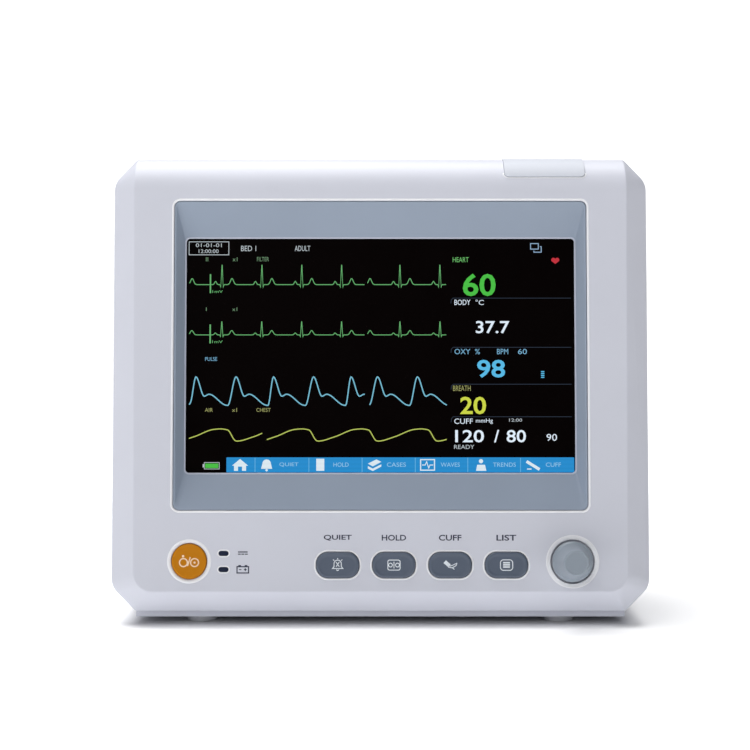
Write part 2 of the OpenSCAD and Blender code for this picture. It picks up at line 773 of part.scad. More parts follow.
module panel_screws() color(steel)
    for (p = panel_screws_at) {
        rod_x(panel_face, panel_x + 7, p[0], p[1], 1.05);
        difference() {
            rod_x(panel_face - 1.4, panel_face, p[0], p[1], 2.2);
            rod_x(panel_face - 2, panel_face - 0.6, p[0], p[1], 0.9);
        }
    }

module ecg_socket() color([0.22, 0.5, 0.34])
    round_socket(socket_z[0], 13, 9.5, 11);

module oxygen_socket() color([0.2, 0.36, 0.6])
    round_socket(socket_z[1], 11, 7.5, 9);

// Insulators with contact holes, at the bottom of the two round sockets
module socket_inserts() color(black) {
    for (s = [[socket_z[0], 9, 12, 6.2], [socket_z[1], 7, 6, 4.2]])
        difference() {
            rod_x(insert_x, insert_x + insert_t - 0.02, panel_mid, s[0], s[1] - 0.02);
            for (i = [0:s[2] - 1]) let (a = i * 360 / s[2])
                rod_x(insert_x - 1, insert_x + 2,
                      panel_mid + s[3] * cos(a), s[0] + s[3] * sin(a), 0.7);
        }
}

module temperature_sockets() color(black)
    for (s = [-1, 1]) difference() {
        union() {
            rod_x(panel_face - 2.4, panel_face, panel_mid + s * 9, socket_z[2], 6);
            rod_x(panel_face, panel_face + 20, panel_mid + s * 9, socket_z[2], 4.5);
        }
        rod_x(panel_face - 3, panel_face + 16, panel_mid + s * 9, socket_z[2], 3.2);
    }

module cuff_socket() color(steel) difference() {
    union() {
        rod_x(panel_face - 6, panel_face, panel_mid, socket_z[3], 9.5);
        rod_x(panel_face, panel_face + 10, panel_mid, socket_z[3], 8);
        rod_x(panel_face + 10, panel_face + 20, panel_mid, socket_z[3], 2.4);
    }
    rod_x(panel_face - 7, panel_face + 8, panel_mid, socket_z[3], 5.5);
    rod_x(panel_face - 7, panel_face + 21, panel_mid, socket_z[3], 1.2);
}

// ---- Power and connections ----

module battery_pack() color([0.2, 0.3, 0.55]) {
    block([22, 21, 45], [112, 45, 87]);
    block([112, 30, 60], [112.8, 36, 72]);
}

module battery_door() color(shell_grey) difference() {
    union() {
        block([114.4, 15.4, 38.4], [116.8, 45.2, 93.6]);
        for (k = door_knuckles) {
            rod_z(door_hinge[0], door_hinge[1], k[0], k[1], knuckle_r);
            block([114.4, 45, k[0]], [116.8, door_hinge[1], k[1]]);
        }
        block([113, 20.3, 62], [114.4, 22.3, 70]);
    }
    for (k = door_knuckles)
        rod_z(door_hinge[0], door_hinge[1], k[0] - 1, k[1] + 1, door_pin_r + 0.05);
    // Finger dimple by the latch edge
    translate([118.6, 22, 66]) rotate([90, 0, 0]) dimple();
}

// Shallow round dimple
module dimple() rotate([0, 90, 0]) cylinder(r1 = 5.5, r2 = 7, h = 3, center = true);

// Plate at the bottom of the connection recess, that carries the jacks
module jack_plate() color(steel) difference() {
    block([io_recess[0][0] + 0.05, io_recess[0][1] - wall, io_recess[0][2] + 0.05],
          [io_recess[1][0] - 0.05, io_recess[0][1], io_recess[1][2] - 0.05]);
    rod_y(dc_x, io_z, 0, far, 5.1);
    translate([net_x, io_recess[0][1], io_z]) cube([16.3, 30, 13.8], center = true);
    rod_y(ground_x, io_z, 0, far, 2.6);
}

module dc_jack() color(black) difference() {
    union() {
        rod_y(dc_x, io_z, 47.5, 52, 5);
        block([dc_x - 5, 36, io_z - 6], [dc_x + 5, 47.4, io_z + 6]);
    }
    difference() {
        rod_y(dc_x, io_z, 42, 53, 2.85);
        rod_y(dc_x, io_z, 42, 51, 1.05);
    }
}

module network_jack() color(steel) difference() {
    block([net_x - 8, 32, io_z - 6.75], [net_x + 8, 51, io_z + 6.75]);
    block([net_x - 5.9, 38, io_z - 4], [net_x + 5.9, 60, io_z + 4]);
}

module ground_post() color(steel) {
    rod_y(ground_x, io_z, 50, 51.6, 5.5);
    rod_y(ground_x, io_z, 51.6, 59.4, 3);
    rod_y(ground_x, io_z, 42, 50, 2.5);
    translate([ground_x, 47.5, io_z]) rotate([90, 0, 0]) cylinder(r = 4.6, h = 3, $fn = 6);
}

module speaker() color(black) {
    rod_y(speaker_at[0], speaker_at[1], back_y - 9, back_y - wall - 0.1, speaker_r);
    cone_y(speaker_at[0], speaker_at[1], back_y - 16, back_y - 9, 10, speaker_r - 2);
    rod_y(speaker_at[0], speaker_at[1], back_y - 22, back_y - 16, 10);
}

module speaker_ring() color(steel)
    tube_y(speaker_at[0], speaker_at[1], back_y - 11, back_y - 9.05, speaker_r + 2.2, speaker_r - 1.4);

// ---- Handle and mounting ----

module carry_handle() color(shell_grey) difference() {
    union() {
        for (s = [-1, 1]) {
            inner = s * (handle_w / 2 - arm_w / 2);
            rod_x(inner - arm_w / 2, inner + arm_w / 2, pivot[0], pivot[1], arm_r);
            block([inner - arm_w / 2, pivot[0], pivot[1] - 4.5],
                  [inner + arm_w / 2, handle_y, pivot[1] + 4.5]);
            rod_x(inner - arm_w / 2, inner + arm_w / 2, handle_y, pivot[1], grip_bar_r + 0.5);
        }
        rod_x(-handle_w / 2 + 2, handle_w / 2 - 2, handle_y, pivot[1], grip_bar_r);
    }
    rod_x(-far, far, pivot[0], pivot[1], pin_r + 0.05);
}

module handle_grip() color(slate) difference() {
    rod_x(-52, 52, handle_y, pivot[1], grip_r);
    rod_x(-53, 53, handle_y, pivot[1], grip_bar_r + 0.02);
}

// Pins of the handle and of the battery door
module hinge_pins() color(steel) {
    for (s = [-1, 1]) {
        middle = s * (handle_w / 2 + 0.5);
        rod_x(middle - 10, middle + 10, pivot[0], pivot[1], pin_r);
    }
    rod_z(door_hinge[0], door_hinge[1], case_knuckles[0][0] + 0.2,
          case_knuckles[2][1] - 0.2, door_pin_r);
}

module mount_inserts() color(brass)
    for (x = [-1, 1], z = [-1, 1])
        tube_y(x * mount_pitch / 2, mount_z + z * mount_pitch / 2,
               back_y - 8, back_y - 0.2, 2.95, mount_d / 2);

front_panel();
display_bezel();
screen_lens();
lcd_frame();
lcd_panel();
lcd_bracket();
bracket_screws();
display_board();
display_ribbon();
status_lenses();
status_leds();
alarm_lens();
alarm_board();
power_button();
mute_key();
hold_key();
cuff_key();
menu_key();
key_board();
key_switches();
encoder_body();
encoder_rotor();
encoder_shaft();
knob();
case_gasket();
case_screws();
rear_cover();
chassis_standoffs();
chassis_plate();
board_standoffs();
main_board();
main_board_parts();
measuring_board();
measuring_shield();
power_board();
power_parts();
air_pump();
pump_head();
air_valves();
air_tubes();
sensor_panel();
panel_screws();
ecg_socket();
oxygen_socket();
socket_inserts();
temperature_sockets();
cuff_socket();
battery_pack();
battery_door();
jack_plate();
dc_jack();
network_jack();
ground_post();
speaker();
speaker_ring();
carry_handle();
handle_grip();
hinge_pins();
mount_inserts();
feet();
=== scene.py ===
"""Bedside patient monitor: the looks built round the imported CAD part.

Face pieces are drawn in face coordinates, in millimetres: u across, w inwards through the
case from the plane of the front face, and v up the face from its bottom line. Screen marks
use x to the right and y down from the screen's top left corner.
"""

import json
import math

import bmesh
import bpy
from mathutils import Matrix, Vector


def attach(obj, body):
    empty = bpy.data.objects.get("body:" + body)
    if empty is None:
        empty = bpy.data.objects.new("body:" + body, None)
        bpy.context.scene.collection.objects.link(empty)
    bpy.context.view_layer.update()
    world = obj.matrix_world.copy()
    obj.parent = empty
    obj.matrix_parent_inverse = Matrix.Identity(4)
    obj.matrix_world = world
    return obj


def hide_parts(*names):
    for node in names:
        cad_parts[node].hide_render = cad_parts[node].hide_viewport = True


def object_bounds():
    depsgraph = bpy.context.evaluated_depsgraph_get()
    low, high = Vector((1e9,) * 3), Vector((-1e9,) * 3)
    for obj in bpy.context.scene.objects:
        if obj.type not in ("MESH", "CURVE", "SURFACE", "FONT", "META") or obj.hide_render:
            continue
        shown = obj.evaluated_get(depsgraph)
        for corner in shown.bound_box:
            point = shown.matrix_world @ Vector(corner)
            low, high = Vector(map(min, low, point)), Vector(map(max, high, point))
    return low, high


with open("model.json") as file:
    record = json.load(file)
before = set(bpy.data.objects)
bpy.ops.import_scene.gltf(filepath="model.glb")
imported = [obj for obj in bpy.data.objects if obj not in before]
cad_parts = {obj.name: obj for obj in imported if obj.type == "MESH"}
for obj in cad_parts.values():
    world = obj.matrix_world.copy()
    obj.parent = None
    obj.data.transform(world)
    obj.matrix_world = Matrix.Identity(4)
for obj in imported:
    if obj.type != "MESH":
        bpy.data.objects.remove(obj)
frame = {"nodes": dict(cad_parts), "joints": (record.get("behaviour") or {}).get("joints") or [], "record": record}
cad_low, cad_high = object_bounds()

MM = 0.001
SLOT_OF = {s["node"]: s["material_slot"] for s in frame["record"]["subparts"]}

# ---- The reclined face, from the frame's own knob joint ----

KNOB_U, KNOB_V = 84.9, 14.85
turn = next(j for j in frame["joints"] if j["name"] == "knob_turn")
ACROSS = Vector((1, 0, 0))
INWARD = Vector(turn["axis"]).normalized()
UP = ACROSS.cross(INWARD)
knob_point = Vector(turn["pos_m"])
ORIGIN = knob_point - ACROSS * knob_point.x - UP * KNOB_V * MM
FACE = (
    Matrix.Translation(ORIGIN)
    @ Matrix((ACROSS, INWARD, UP)).transposed().to_4x4()
    @ Matrix.Scale(MM, 4)
)

# ---- Camera ----

scene = bpy.context.scene
camera = bpy.data.objects.new("camera", bpy.data.cameras.new("camera"))
scene.collection.objects.link(camera)
scene.camera = camera
camera.data.sensor_width = 36
camera.data.lens = 85.68
camera.data.clip_start = 0.05
camera.data.clip_end = 60
camera.location = (-0.00242, ORIGIN.y - 0.78029, 0.16021)
camera.rotation_euler = (math.radians(90 - 3.5), 0, 0)

# ---- Materials ----


def shader(name):
    """A new node material with its tree, its main shader and the object's own coordinates."""
    made = bpy.data.materials.new(name)
    made.use_nodes = True
    tree = made.node_tree
    surface = next(n for n in tree.nodes if n.type == "BSDF_PRINCIPLED")
    place = tree.nodes.new("ShaderNodeTexCoord")
    return made, tree, surface, place.outputs["Object"]


def noise(tree, place, scale, detail=2.0, stretch=None):
    """Noise at a real scale: scale is in features per metre."""
    if stretch:
        mapping = tree.nodes.new("ShaderNodeMapping")
        mapping.inputs["Scale"].default_value = stretch
        tree.links.new(place, mapping.inputs["Vector"])
        place = mapping.outputs["Vector"]
    texture = tree.nodes.new("ShaderNodeTexNoise")
    texture.inputs["Scale"].default_value = scale
    texture.inputs["Detail"].default_value = detail
    tree.links.new(place, texture.inputs["Vector"])
    return texture.outputs["Fac"]


def spread(tree, value, low, high):
    """Maps the middle of a noise to the range low to high."""
    node = tree.nodes.new("ShaderNodeMapRange")
    node.inputs["From Min"].default_value = 0.3
    node.inputs["From Max"].default_value = 0.7
    node.inputs["To Min"].default_value = low
    node.inputs["To Max"].default_value = high
    tree.links.new(value, node.inputs["Value"])
    return node.outputs["Result"]


def tint(tree, colour, factor):
    """The colour times a varying factor."""
    node = tree.nodes.new("ShaderNodeMix")
    node.data_type = "RGBA"
    node.blend_type = "MULTIPLY"
    node.inputs["Factor"].default_value = 1.0
    node.inputs["A"].default_value = (*colour, 1)
    tree.links.new(factor, node.inputs["B"])
    return node.outputs["Result"]


def bump(tree, surface, height, strength, distance):
    """Bumps the surface by a height pattern."""
    node = tree.nodes.new("ShaderNodeBump")
    node.inputs["Strength"].default_value = strength
    node.inputs["Distance"].default_value = distance
    tree.links.new(height, node.inputs["Height"])
    tree.links.new(node.outputs["Normal"], surface.inputs["Normal"])


def moulded(name, colour, rough, grain=2600, depth=0.00002, coat=0.0, vary=0.03, ior=1.45):
    """Moulded plastic or rubber: broad colour drift, a fine spark-eroded grain and uneven gloss."""
    made, tree, surface, place = shader(name)
    drift = spread(tree, noise(tree, place, 28, 3), 1 - vary, 1 + vary)
    tree.links.new(tint(tree, colour, drift), surface.inputs["Base Color"])
    fine = noise(tree, place, grain, 3)
    tree.links.new(spread(tree, fine, rough * 0.9, rough * 1.1), surface.inputs["Roughness"])
    surface.inputs["Coat Weight"].default_value = coat
    surface.inputs["IOR"].default_value = ior
    bump(tree, surface, fine, 0.35, depth)
    return made


def metal(name, colour, rough, brushed=True, vary=0.06):
    """Plated or brushed metal with streaks along X."""
    made, tree, surface, place = shader(name)
    stretch = (0.06, 1, 1) if brushed else None
    streak = noise(tree, place, 1400, 3, stretch)
    tree.links.new(
        tint(tree, colour, spread(tree, streak, 1 - vary, 1 + vary)), surface.inputs["Base Color"]
    )
    tree.links.new(spread(tree, streak, rough * 0.8, rough * 1.2), surface.inputs["Roughness"])
    surface.inputs["Metallic"].default_value = 1.0
    bump(tree, surface, streak, 0.2, 0.00001)
    return made


def clear(name, colour, rough, transmission, shine=0.5):
    """Glass or clear plastic with faint handling marks in its gloss."""
    made, tree, surface, place = shader(name)
    marks = noise(tree, place, 60, 4)
    tree.links.new(
        tint(tree, colour, spread(tree, marks, 0.96, 1.04)), surface.inputs["Base Color"]
    )
    tree.links.new(spread(tree, marks, rough * 0.8, rough * 1.3), surface.inputs["Roughness"])
    surface.inputs["Transmission Weight"].default_value = transmission
    surface.inputs["Specular IOR Level"].default_value = shine
    return made


def boards(name, colour, copper):
    """Solder mask over a net of tracks."""
    made, tree, surface, place = shader(name)
    tracks = tree.nodes.new("ShaderNodeTexBrick")
    tracks.inputs["Scale"].default_value = 320
    tracks.inputs["Mortar Size"].default_value = 0.03
    tracks.inputs["Color1"].default_value = (*colour, 1)
    tracks.inputs["Color2"].default_value = (*[c * 0.8 for c in colour], 1)
    tracks.inputs["Mortar"].default_value = (*copper, 1)
    turned = tree.nodes.new("ShaderNodeMapping")
    turned.inputs["Rotation"].default_value = (math.pi / 2, 0, 0)
    tree.links.new(place, turned.inputs["Vector"])
    tree.links.new(turned.outputs["Vector"], tracks.inputs["Vector"])
    tree.links.new(tracks.outputs["Color"], surface.inputs["Base Color"])
    tree.links.new(
        spread(tree, noise(tree, place, 200), 0.3, 0.45), surface.inputs["Roughness"]
    )
    bump(tree, surface, tracks.outputs["Fac"], 0.3, 0.00003)
    return made


def lit(name, colour, strength=1.0):
    """Screen marks: they glow, with the display's fine dot pattern."""
    made, tree, surface, place = shader(name)
    surface.inputs["Base Color"].default_value = (0.01, 0.01, 0.01, 1)
    surface.inputs["Roughness"].default_value = 0.6
    surface.inputs["Specular IOR Level"].default_value = 0.0
    dots = tree.nodes.new("ShaderNodeTexVoronoi")
    dots.inputs["Scale"].default_value = 4200
    dots.inputs["Randomness"].default_value = 0.0
    tree.links.new(place, dots.inputs["Vector"])
    level = tree.nodes.new("ShaderNodeMapRange")
    level.inputs["From Max"].default_value = 0.7
    level.inputs["To Min"].default_value = 1.04
    level.inputs["To Max"].default_value = 0.9
    tree.links.new(dots.outputs["Distance"], level.inputs["Value"])
    tree.links.new(
        tint(tree, colour, level.outputs["Result"]), surface.inputs["Emission Color"]
    )
    surface.inputs["Emission Strength"].default_value = strength
    return made


def ink(name, colour):
    """Printed marks, with slightly uneven cover."""
    return moulded(name, colour, 0.5, 3500, 0.000004, 0.0, 0.08)


FINISH = {
    "case_plastic": moulded("case_plastic", (0.655, 0.67, 0.748), 0.46, vary=0.012),
    "bezel_plastic": moulded("bezel_plastic", (0.305, 0.36, 0.45), 0.55, vary=0.02, ior=1.35),
    "screen_glass": clear("screen_glass", (0.0022, 0.0012, 0.0012), 0.3, 0.0, 0.012),
    "display_glass": clear("display_glass", (0.005, 0.005, 0.006), 0.2, 0.0),
    "sheet_steel": metal("sheet_steel", (0.55, 0.56, 0.58), 0.35),
    "screw_steel": metal("screw_steel", (0.5, 0.5, 0.52), 0.3, False),
    "circuit_board": boards("circuit_board", (0.012, 0.1, 0.04), (0.03, 0.17, 0.08)),
    "ribbon_film": moulded("ribbon_film", (0.7, 0.66, 0.52), 0.35, 1200),
    "status_lens": moulded("status_lens", (0.012, 0.018, 0.045), 0.4, 2000, 0.000004, ior=1.25),
    "led_resin": clear("led_resin", (0.6, 0.8, 0.5), 0.1, 0.5),
    "alarm_lens": moulded("alarm_lens", (0.6, 0.625, 0.69), 0.5, 1500, 0.000004, 0.0, 0.01, 1.35),
    "amber_plastic": moulded("amber_plastic", (0.56, 0.2, 0.001), 0.45, 2600, 0.00001, ior=1.25),
    "key_plastic": moulded("key_plastic", (0.092, 0.116, 0.163), 0.38, 2600, 0.00001, 0.1),
    "knob_plastic": moulded("knob_plastic", (0.29, 0.335, 0.39), 0.36, 2600, 0.00001, 0.1),
    "black_plastic": moulded("black_plastic", (0.012, 0.012, 0.013), 0.42),
    "gasket_rubber": moulded("gasket_rubber", (0.02, 0.02, 0.02), 0.75),
    "brass": metal("brass", (0.65, 0.45, 0.16), 0.3),
    "plated_brass": metal("plated_brass", (0.62, 0.62, 0.64), 0.18, False),
    "valve_plastic": moulded("valve_plastic", (0.62, 0.62, 0.66), 0.4),
    "tube_rubber": moulded("tube_rubber", (0.55, 0.55, 0.58), 0.35, 800, 0.00001, 0.2),
    "green_plastic": moulded("green_plastic", (0.03, 0.19, 0.09), 0.38),
    "blue_plastic": moulded("blue_plastic", (0.03, 0.10, 0.32), 0.38),
    "battery_wrap": moulded("battery_wrap", (0.03, 0.06, 0.2), 0.22, 500, 0.00004, 0.3),
    "grip_rubber": moulded("grip_rubber", (0.1, 0.13, 0.18), 0.7, 1800, 0.00004),
    "foot_rubber": moulded("foot_rubber", (0.6, 0.61, 0.64), 0.4, 1800, 0.00002),
}
# Near-white for the raised rims round holes and the alarm lens: a painted highlight where their edges catch the
# light.
painted_highlight_white = moulded("painted_highlight_white", (0.9, 0.905, 0.94), 0.35, 2600, 0.00001, 0.1, 0.01)
# Paler blue-grey for the lip round the screen: a painted highlight along the screen's edge.
painted_highlight_lip = moulded("painted_highlight_lip", (0.5, 0.53, 0.63), 0.35, 2600, 0.00001, 0.1, 0.01)
label_ink = ink("label_ink", (0.022, 0.026, 0.06))
icon_ink = ink("icon_ink", (0.76, 0.81, 0.86))
button_ink = ink("button_ink", (0.95, 0.72, 0.5))

# ---- Mesh helpers ----


def piece(name, shape, finish, body, angle=32, place=FACE):
    """Turns a bmesh in millimetres into a piece that rides a body."""
    bmesh.ops.remove_doubles(shape, verts=shape.verts, dist=1e-4)
    bmesh.ops.recalc_face_normals(shape, faces=shape.faces)
    shape.transform(place)
    mesh = bpy.data.meshes.new(name)
    shape.to_mesh(mesh)
    shape.free()
    return dressed(bpy.data.objects.new(name, mesh), finish, body, angle)


def dressed(obj, finish, body, angle=32):
    """Gives an object its finish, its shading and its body."""
    if obj.name not in scene.collection.objects:
        scene.collection.objects.link(obj)
    obj.data.materials.clear()
    obj.data.materials.append(finish)
    obj.data.polygons.foreach_set("use_smooth", [True] * len(obj.data.polygons))
    obj.data.set_sharp_from_angle(angle=math.radians(angle))
    smooth = obj.modifiers.new("weighted", "WEIGHTED_NORMAL")
    smooth.keep_sharp = True
    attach(obj, body)
    return obj


def loft(shape, rings, caps=True):
    """Skins a list of equal rings of points."""
    rows = [[shape.verts.new(p) for p in ring] for ring in rings]
    count = len(rows[0])
    for a, b in zip(rows, rows[1:]):
        for i in range(count):
            k = (i + 1) % count
            shape.faces.new((a[i], a[k], b[k], b[i]))
    if caps:
        shape.faces.new(rows[0])
        shape.faces.new(rows[-1])
    return rows


def rounded(w, h, r, steps=10):
    """Outline of a rectangle with round corners, about its middle."""
    points = []
    for k, (sx, sy) in enumerate([(1, 1), (-1, 1), (-1, -1), (1, -1)]):
        for i in range(steps + 1):
            a = math.pi / 2 * (k + i / steps)
            points.append(
                (sx * (w / 2 - r) + r * math.cos(a), sy * (h / 2 - r) + r * math.sin(a))
            )
    return points


def ring(u, v, w, width, height, r, steps=10):
    """A rounded rectangle on the face, at depth w."""
    return [(u + p[0], w, v + p[1]) for p in rounded(width, height, r, steps)]


def disc(u, v, w, r, count=96):
    """A circle on the face, at depth w."""
    turns = [2 * math.pi * i / count for i in range(count)]
    return [(u + r * math.cos(a), w, v + r * math.sin(a)) for a in turns]


def arc(cx, cy, r, a0, a1, steps):
    """Points on a round corner, angles in degrees."""
    angles = [math.radians(a0 + (a1 - a0) * i / steps) for i in range(steps + 1)]
    return [(cx + r * math.cos(a), cy + r * math.sin(a)) for a in angles]


def tool(name, shape):
    """A cutting body for carve()."""
    bmesh.ops.remove_doubles(shape, verts=shape.verts, dist=1e-4)
    bmesh.ops.recalc_face_normals(shape, faces=shape.faces)
    mesh = bpy.data.meshes.new(name)
    shape.to_mesh(mesh)
    shape.free()
    obj = bpy.data.objects.new(name, mesh)
    scene.collection.objects.link(obj)
    return obj


def lofted(rings):
    """A closed solid through a list of rings."""
    shape = bmesh.new()
    loft(shape, rings)
    return shape


def carve(obj, tools, operation="DIFFERENCE"):
    """Applies each tool to obj and removes the tools."""
    for t in tools:
        cut = obj.modifiers.new("cut", "BOOLEAN")
        cut.solver = "MANIFOLD"
        cut.operation = operation
        cut.object = t
    graph = bpy.context.evaluated_depsgraph_get()
    made = bpy.data.meshes.new_from_object(obj.evaluated_get(graph))
    obj.modifiers.clear()
    obj.data = made
    for t in tools:
        bpy.data.objects.remove(t)
    return obj


def box(low, high):
    """A block between two corners."""
    shape = bmesh.new()
    bmesh.ops.create_cube(shape, size=1)
    for v in shape.verts:
        v.co = Vector([lo + (c + 0.5) * (hi - lo) for c, lo, hi in zip(v.co, low, high)])
    return shape


def hull(centres, r, exact=()):
    """Convex hull of balls of radius r at the centres, and of some exact points."""
    shape = bmesh.new()
    ball = []
    for i in range(1, 12):
        out, up = math.sin(math.pi * i / 12), math.cos(math.pi * i / 12)
        for k in range(24):
            a = 2 * math.pi * k / 24
            ball.append(Vector((out * math.cos(a), up, out * math.sin(a))))
    ball += [Vector((0, 1, 0)), Vector((0, -1, 0))]
    for c in centres:
        if r:
            for b in ball:
                shape.verts.new(Vector(c) + b * r)
        else:
            shape.verts.new(c)
    for p in exact:
        shape.verts.new(p)
    made = bmesh.ops.convex_hull(shape, input=shape.verts)
    spare = [g for g in made["geom_interior"] if isinstance(g, bmesh.types.BMVert)]
    spare += [g for g in made["geom_unused"] if isinstance(g, bmesh.types.BMVert)]
    bmesh.ops.delete(shape, geom=list(set(spare)), context="VERTS")
    bmesh.ops.dissolve_limit(
        shape, angle_limit=math.radians(0.4), verts=shape.verts, edges=shape.edges
    )
    return shape


# ---- Front casing ----

# Half widths of the case, of its flat face and at its foot, then the face's height.
HALF = 120.1
FACE_HALF = 111.0
FOOT_LINE = 109.4
FACE_TOP = 179.0
ROLL = 17.8
PART_W = 16.0
WALL = 2.5
SOFT = 1.3
EDGE = 0.8


def mirrored(points):
    """The points and their mirror images."""
    return points + [(-x, y) for x, y in reversed(points)]


def face_line(d):
    """Outline of the flat face, moved in by d."""
    return mirrored(
        arc(FACE_HALF - 10, 10, 10 - d, -90, 0, 12) + [(FACE_HALF - d, FACE_TOP - 1)]
    )


def side_line(d):
    """Outline behind the side bevels, moved in by d."""
    return (
        [(FOOT_LINE - 0.41 * d, -7.3 + d)]
        + arc(HALF - 9, 7.1, 9 - d, -45, 0, 8)
        + arc(HALF - 9, FACE_TOP + 2.4, 9 - d, 0, 52, 8)
    )


def roll_line(half, r, steps=40):
    """The rolled top edge, from the face round to straight up."""
    points = []
    for s in (-1, 1):
        for w, v in arc(ROLL, FACE_TOP, r, 90, 180, steps):
            points.append((s * half, w, v))
    return points


def front_solid(d, soft):
    """The front casing's convex outside, moved in by d, with edges rounded to the radius soft."""
    e = d + soft
    centres = [(u, e, v) for u, v in face_line(e + EDGE)]
    centres += [(u, e + EDGE, v) for u, v in face_line(e)]
    centres += roll_line(FACE_HALF - e, ROLL - e)
    centres += [(u, w + e / 2, v) for u, v in mirrored(side_line(e)) for w in (8.5, 9.5)]
    top = [(FACE_HALF - 0.5 * e, FACE_TOP + ROLL - e)]
    centres += [(u, w, v) for u, v in mirrored(side_line(e) + top) for w in (PART_W, PART_W + 3)]
    exact = roll_line(FACE_HALF - e, ROLL - d) if soft else ()
    return hull(centres, soft, exact)


def well(u, v, w, h, r, depth, flare, rise=0.5, steps=10):
    """Cutter for a hole in the face, with a flared mouth."""
    return lofted(
        [
            ring(u, v, -1.0, w + 2 * flare, h + 2 * flare, r + flare, steps),
            ring(u, v, 0.0, w + 2 * flare, h + 2 * flare, r + flare, steps),
            ring(u, v, rise, w, h, r, steps),
            ring(u, v, depth, w, h, r, steps),
        ]
    )


KEY_U = [-18.9 + 24.85 * i for i in range(4)]
KEY_V, KEY_W, KEY_H, KEY_R = 13.4, 18.9, 11.25, 5.2
POWER_U, POWER_V, POWER_R = -84.55, 15.0, 7.75
LAMP_U, LAMP_V = -69.35, (18.5, 11.4)
WINDOW = (184.2, 138.2)
WINDOW_V = 106.5
SCREEN = (174.0, 105.0)
SCREEN_V = 106.7
# The alarm lens: its sides, its ends in degrees round the roll, and its corners.
LENS_U = (55.7, 91.8)
LENS_FROM = 25.6
LENS_TO = 94
LENS_CORNER = 1.9
SEAT_GAP = 0.15
# The knob's cup and dish, and the depth of the marks on a cap.
CUP_R, DISH_R = 11.6, 9.85
DISH = [(-1.0, CUP_R), (0.0, CUP_R), (0.2, 11.1), (0.5, DISH_R), (2.5, DISH_R)]
CAP_INK = -0.86
# Everything behind the front casing.
BEHIND = ((-200, PART_W, -60), (200, 60, 260))


def roll_point(u, r, angle):
    """A point near the rolled top: angle is 0 straight ahead and 90 straight up."""
    a = math.radians(angle)
    return (u, ROLL - r * math.cos(a), FACE_TOP + r * math.sin(a))


def roll_block(u0, u1, r0, r1, a0, a1, corner, steps=30):
    """A block that wraps round the rolled top, with round corners at its front end."""
    turned = math.degrees(corner / ROLL)
    angles = [a0 + turned * (1 - math.cos(math.pi / 2 * i / 8)) for i in range(8)]
    angles += [a0 + turned + (a1 - a0 - turned) * i / steps for i in range(steps + 1)]
    rings = []
    for a in angles:
        left = corner - min(math.radians(a - a0) * ROLL, corner)
        inset = corner - math.sqrt(corner**2 - left**2)
        rings.append(
            [
                roll_point(u0 + inset, r0, a),
                roll_point(u1 - inset, r0, a),
                roll_point(u1 - inset, r1, a),
                roll_point(u0 + inset, r1, a),
            ]
        )
    return lofted(rings)


shell = tool("front_shell", front_solid(0, SOFT))
rim_corners = ((-FOOT_LINE, -10.1), (FOOT_LINE, -10.1), (FOOT_LINE, -4.5), (-FOOT_LINE, -4.5))
rim = tool("rim", lofted([[(u, w, v) for u, v in rim_corners] for w in (12.8, 18.0)]))
carve(shell, [tool("inner", front_solid(WALL, 0))])
carve(shell, [rim], "UNION")
cup = tool("cup", lofted([disc(KNOB_U, KNOB_V, w, CUP_R) for w in (1.5, 4.3)]))
carve(shell, [cup], "UNION")
cutters = [
    tool("behind", box(*BEHIND)),
    tool("window", well(0, WINDOW_V, *WINDOW, 2.8, 8, 0.35, 0.35)),
    tool(
        "power_well",
        lofted([disc(POWER_U, POWER_V, w, POWER_R + 0.3) for w in (-1.0, 8.0)]),
    ),
    tool("dish", lofted([disc(KNOB_U, KNOB_V, w, r) for w, r in DISH])),
    tool("shaft_hole", lofted([disc(KNOB_U, KNOB_V, w, 4.0, 48) for w in (1.0, 8.0)])),
    tool(
        "lens_seat",
        roll_block(
            LENS_U[0] - SEAT_GAP,
            LENS_U[1] + SEAT_GAP,
            ROLL - 3.5,
            ROLL + 2,
            LENS_FROM - 2.5 * SEAT_GAP,
            LENS_TO,
            LENS_CORNER + SEAT_GAP,
        ),
    ),
]
for i, u in enumerate(KEY_U):
    cutters.append(
        tool(f"key_well_{i}", well(u, KEY_V, KEY_W + 0.6, KEY_H + 0.6, KEY_R + 0.3, 8, 0.0))
    )
for i, v in enumerate(LAMP_V):
    cutters.append(tool(f"lamp_well_{i}", well(LAMP_U, v, 4.6, 2.4, 1.19, 8, 0.0)))
for c in cutters:
    carve(shell, [c])
shell.data.transform(FACE)
dressed(shell, FINISH["case_plastic"], "housing", 28)
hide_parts("front_panel")


def highlight_bead(name, rings_at):
    """A raised rim round a hole, coloured near-white as a painted highlight along the hole's edge: rings from the
    outside to the inside.
    """
    shape = bmesh.new()
    rows = loft(shape, rings_at, caps=False)
    first, last = rows[0], rows[-1]
    count = len(first)
    for i in range(count):
        k = (i + 1) % count
        shape.faces.new((first[k], first[i], last[i], last[k]))
    return piece(name, shape, painted_highlight_white, "housing", 50)


def key_highlight_bead(name, u, v, w, h, r, wide, proud=0.16, inner=0.24):
    """Rim round a key's or lamp's well, in the near-white of the painted edge highlight."""

    def at(grow, depth):
        return ring(u, v, depth, w + 2 * grow, h + 2 * grow, r + grow, 12)

    return highlight_bead(
        name,
        [
            at(inner + wide, 0.12),
            at(inner + wide, -0.02),
            at(inner + wide * 0.75, -proud * 0.8),
            at(inner + wide * 0.5, -proud),
            at(inner + wide * 0.25, -proud * 0.8),
            at(inner, 0.0),
            at(inner, 0.3),
        ],
    )


for i, u in enumerate(KEY_U):
    key_highlight_bead(f"key_highlight_rim_{i}", u, KEY_V, KEY_W, KEY_H, KEY_R, 0.75)
for i, v in enumerate(LAMP_V):
    key_highlight_bead(f"lamp_highlight_rim_{i}", LAMP_U, v, 4.4, 2.2, 1.09, 0.55, 0.1, 0.06)
